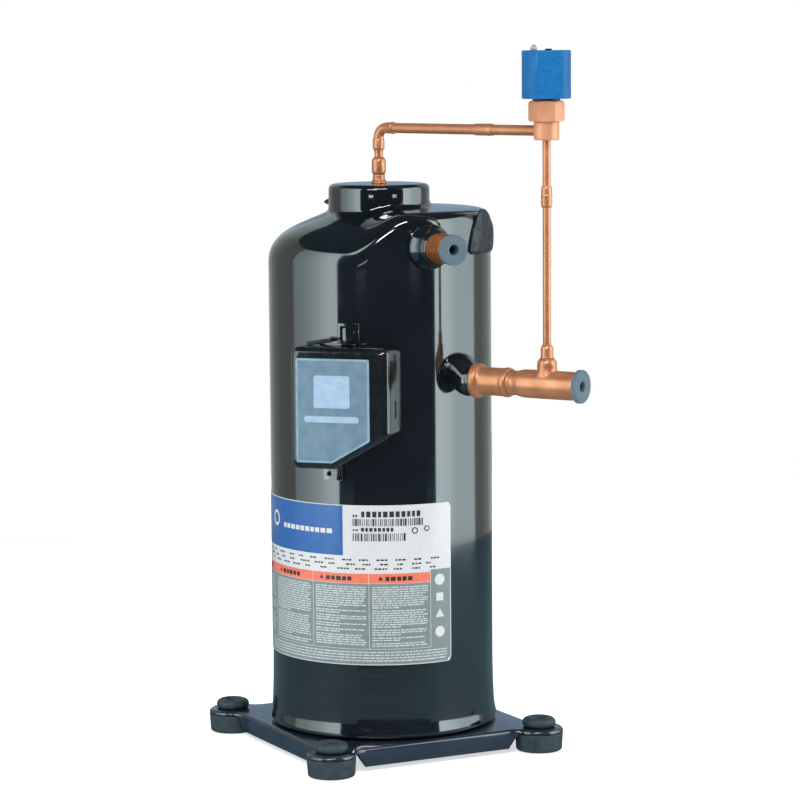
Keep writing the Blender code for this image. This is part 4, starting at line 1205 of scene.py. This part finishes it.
def softbox(name, angle, distance, height, size, glow, tint=(1, 1, 1)):
    """A rectangular light of this brightness at a bearing, facing the shell's axis."""
    data = bpy.data.lights.new(name, "AREA")
    data.shape = "RECTANGLE"
    data.size, data.size_y = size
    data.energy = glow * math.pi * size[0] * size[1]
    data.color = tint
    made = bpy.data.objects.new(name, data)
    bpy.context.scene.collection.objects.link(made)
    made.location = bearing(angle, distance) + Vector((AXIS.x * MM, 0, height))
    made.rotation_mode = "QUATERNION"
    aim_light(made, height)
    made.visible_camera = False
    return made


def aim_light(made, height):
    """Points a light at this height on the shell's axis."""
    target = Vector((AXIS.x * MM, 0, height))
    made.rotation_quaternion = (target - made.location).to_track_quat("-Z", "Y")


TEAL = Vector((0.84, 1.0, 1.03))
OLIVE = Vector((0.95, 1.0, 0.90))
WALL_LEFT = (
    (-24.5, 2.9, TEAL), (-34.0, 2.75, TEAL), (-48.0, 1.9, TEAL), (-64.0, 1.23, TEAL),
    (-78.0, 0.9, TEAL), (-79.5, 0.36, OLIVE), (-103.0, 0.28, OLIVE), (-125.0, 0.35, OLIVE),
    (-150.0, 0.6, TEAL),
)
WALL_RIGHT = (
    (74.0, 3.7, TEAL), (90.0, 3.2, TEAL), (100.0, 2.4, TEAL), (118.0, 2.05, TEAL),
    (127.0, 1.7, TEAL), (129.0, 0.45, OLIVE), (140.0, 0.32, OLIVE), (160.0, 0.4, OLIVE),
    (180.0, 0.55, TEAL),
)
WALL_REACH = 1.12
WALL_LOW, WALL_HIGH = 0.002, 1.26


def light_wall(name, stops):
    """A glowing screen round one side, its brightness drifting from stop to stop."""
    bm = bmesh.new()
    layer = bm.verts.layers.float_color.new("glow")
    before = None
    for (start, dim, cold), (end, bright, warm) in zip(stops, stops[1:]):
        steps = max(1, round(abs(end - start) / 3))
        for step in range(steps + 1):
            t = step / steps
            shade = (cold * dim).lerp(warm * bright, t)
            spot = bearing(start + (end - start) * t, WALL_REACH / MM) * MM
            pair = [bm.verts.new((spot.x, spot.y, z)) for z in (WALL_LOW, WALL_HIGH)]
            for vertex in pair:
                vertex[layer] = (*shade, 1.0)
            if before and step:
                bm.faces.new((before[0], pair[0], pair[1], before[1]))
            before = pair
    paint = bpy.data.materials.new(name)
    paint.use_nodes = True
    tree = paint.node_tree
    tree.nodes.clear()
    glow = tree.nodes.new("ShaderNodeAttribute")
    glow.attribute_name = "glow"
    shine = node(tree, "ShaderNodeEmission", {"Color": glow.outputs["Color"]})
    node(tree, "ShaderNodeOutputMaterial", {"Surface": shine.outputs["Emission"]})
    made = to_object(name, bm, paint)
    made.location = AXIS * MM
    made.visible_camera = False


def lights():
    light_wall("wall_left", WALL_LEFT)
    light_wall("wall_right", WALL_RIGHT)
    softbox("soft_back", 198, 1.6, 0.5, (1.2, 0.9), 0.45, (0.55, 0.75, 1.0))
    strip = softbox("strip_top", 22, 1.5, 1.75, (0.9, 0.16), 24.0)
    aim_light(strip, 0.42)
    curve = softbox("strip_curve", 2, 1.5, 1.15, (0.6, 0.12), 22.0)
    aim_light(curve, 0.42)
    for name, angle, height in (
        ("window_a", 0, 0.351), ("window_b", 0, 0.340), ("window_c", 53, 0.3575), ("window_d", 53, 0.346)
    ):
        softbox(name, angle, 1.5, height, (0.26, 0.0045), 14.0, (0.8, 0.95, 1.0))
    front = softbox("fill_front", 10, 2.4, 0.9, (1.6, 1.6), 0.72)
    front.visible_glossy = False
    top = softbox("fill_top", 18, 0.01, 2.5, (4.0, 4.0), 1.45)
    top.rotation_quaternion = (1, 0, 0, 0)
    top.visible_glossy = False
    background()


def background():
    """White for the camera, and a dim bluish fill for everything else."""
    world = bpy.data.worlds.new("studio")
    bpy.context.scene.world = world
    world.use_nodes = True
    tree = world.node_tree
    tree.nodes.clear()
    path = tree.nodes.new("ShaderNodeLightPath")
    fill = node(tree, "ShaderNodeBackground", {"Color": (0.035, 0.046, 0.060, 1)})
    seen = node(tree, "ShaderNodeBackground", {"Color": (1, 1, 1, 1)})
    mix = node(tree, "ShaderNodeMixShader", {
        "Fac": path.outputs["Is Camera Ray"],
        1: fill.outputs["Background"],
        2: seen.outputs["Background"],
    })
    node(tree, "ShaderNodeOutputWorld", {"Surface": mix.outputs["Shader"]})
    bpy.context.scene.view_settings.view_transform = "Standard"
    bpy.context.scene.view_settings.look = "None"


CAMERA_BEARING = 18.1214
CAMERA_DISTANCE = 2564.57
CAMERA_HEIGHT = 585.94
CAMERA_PITCH = 6.6795
CAMERA_ROLL = -0.4629
CAMERA_YAW = -0.3546
CAMERA_LENS = 140.44


def camera():
    data = bpy.data.cameras.new("photo_camera")
    data.sensor_width = 36.0
    data.lens = CAMERA_LENS
    data.clip_start, data.clip_end = 0.1, 50.0
    made = bpy.data.objects.new("photo_camera", data)
    bpy.context.scene.collection.objects.link(made)
    yaw = math.radians(CAMERA_BEARING + CAMERA_YAW)
    pitch = math.radians(CAMERA_PITCH)
    roll = math.radians(CAMERA_ROLL)
    forward = Vector((-math.sin(yaw) * math.cos(pitch), math.cos(yaw) * math.cos(pitch),
                      -math.sin(pitch)))
    right = Vector((math.cos(yaw), math.sin(yaw), 0))
    up = right.cross(forward)
    across = right * math.cos(roll) + up * math.sin(roll)
    upward = up * math.cos(roll) - right * math.sin(roll)
    turn = Matrix((across, upward, -forward)).transposed().to_4x4()
    spot = (bearing(CAMERA_BEARING, CAMERA_DISTANCE, CAMERA_HEIGHT) + AXIS) * MM
    made.matrix_world = Matrix.Translation(spot) @ turn
    bpy.context.scene.camera = made


# ---- build ----

paint_kept_nodes()
base_plate()
grommets()
shell_bottom()
shell_wall()
top_cap()
lifting_lugs()
discharge_connection()
suction_connection()
riser()
drop_line()
valve()
box_cover()
panel()
box_base()
label_sheet()
floor()
lights()
camera()
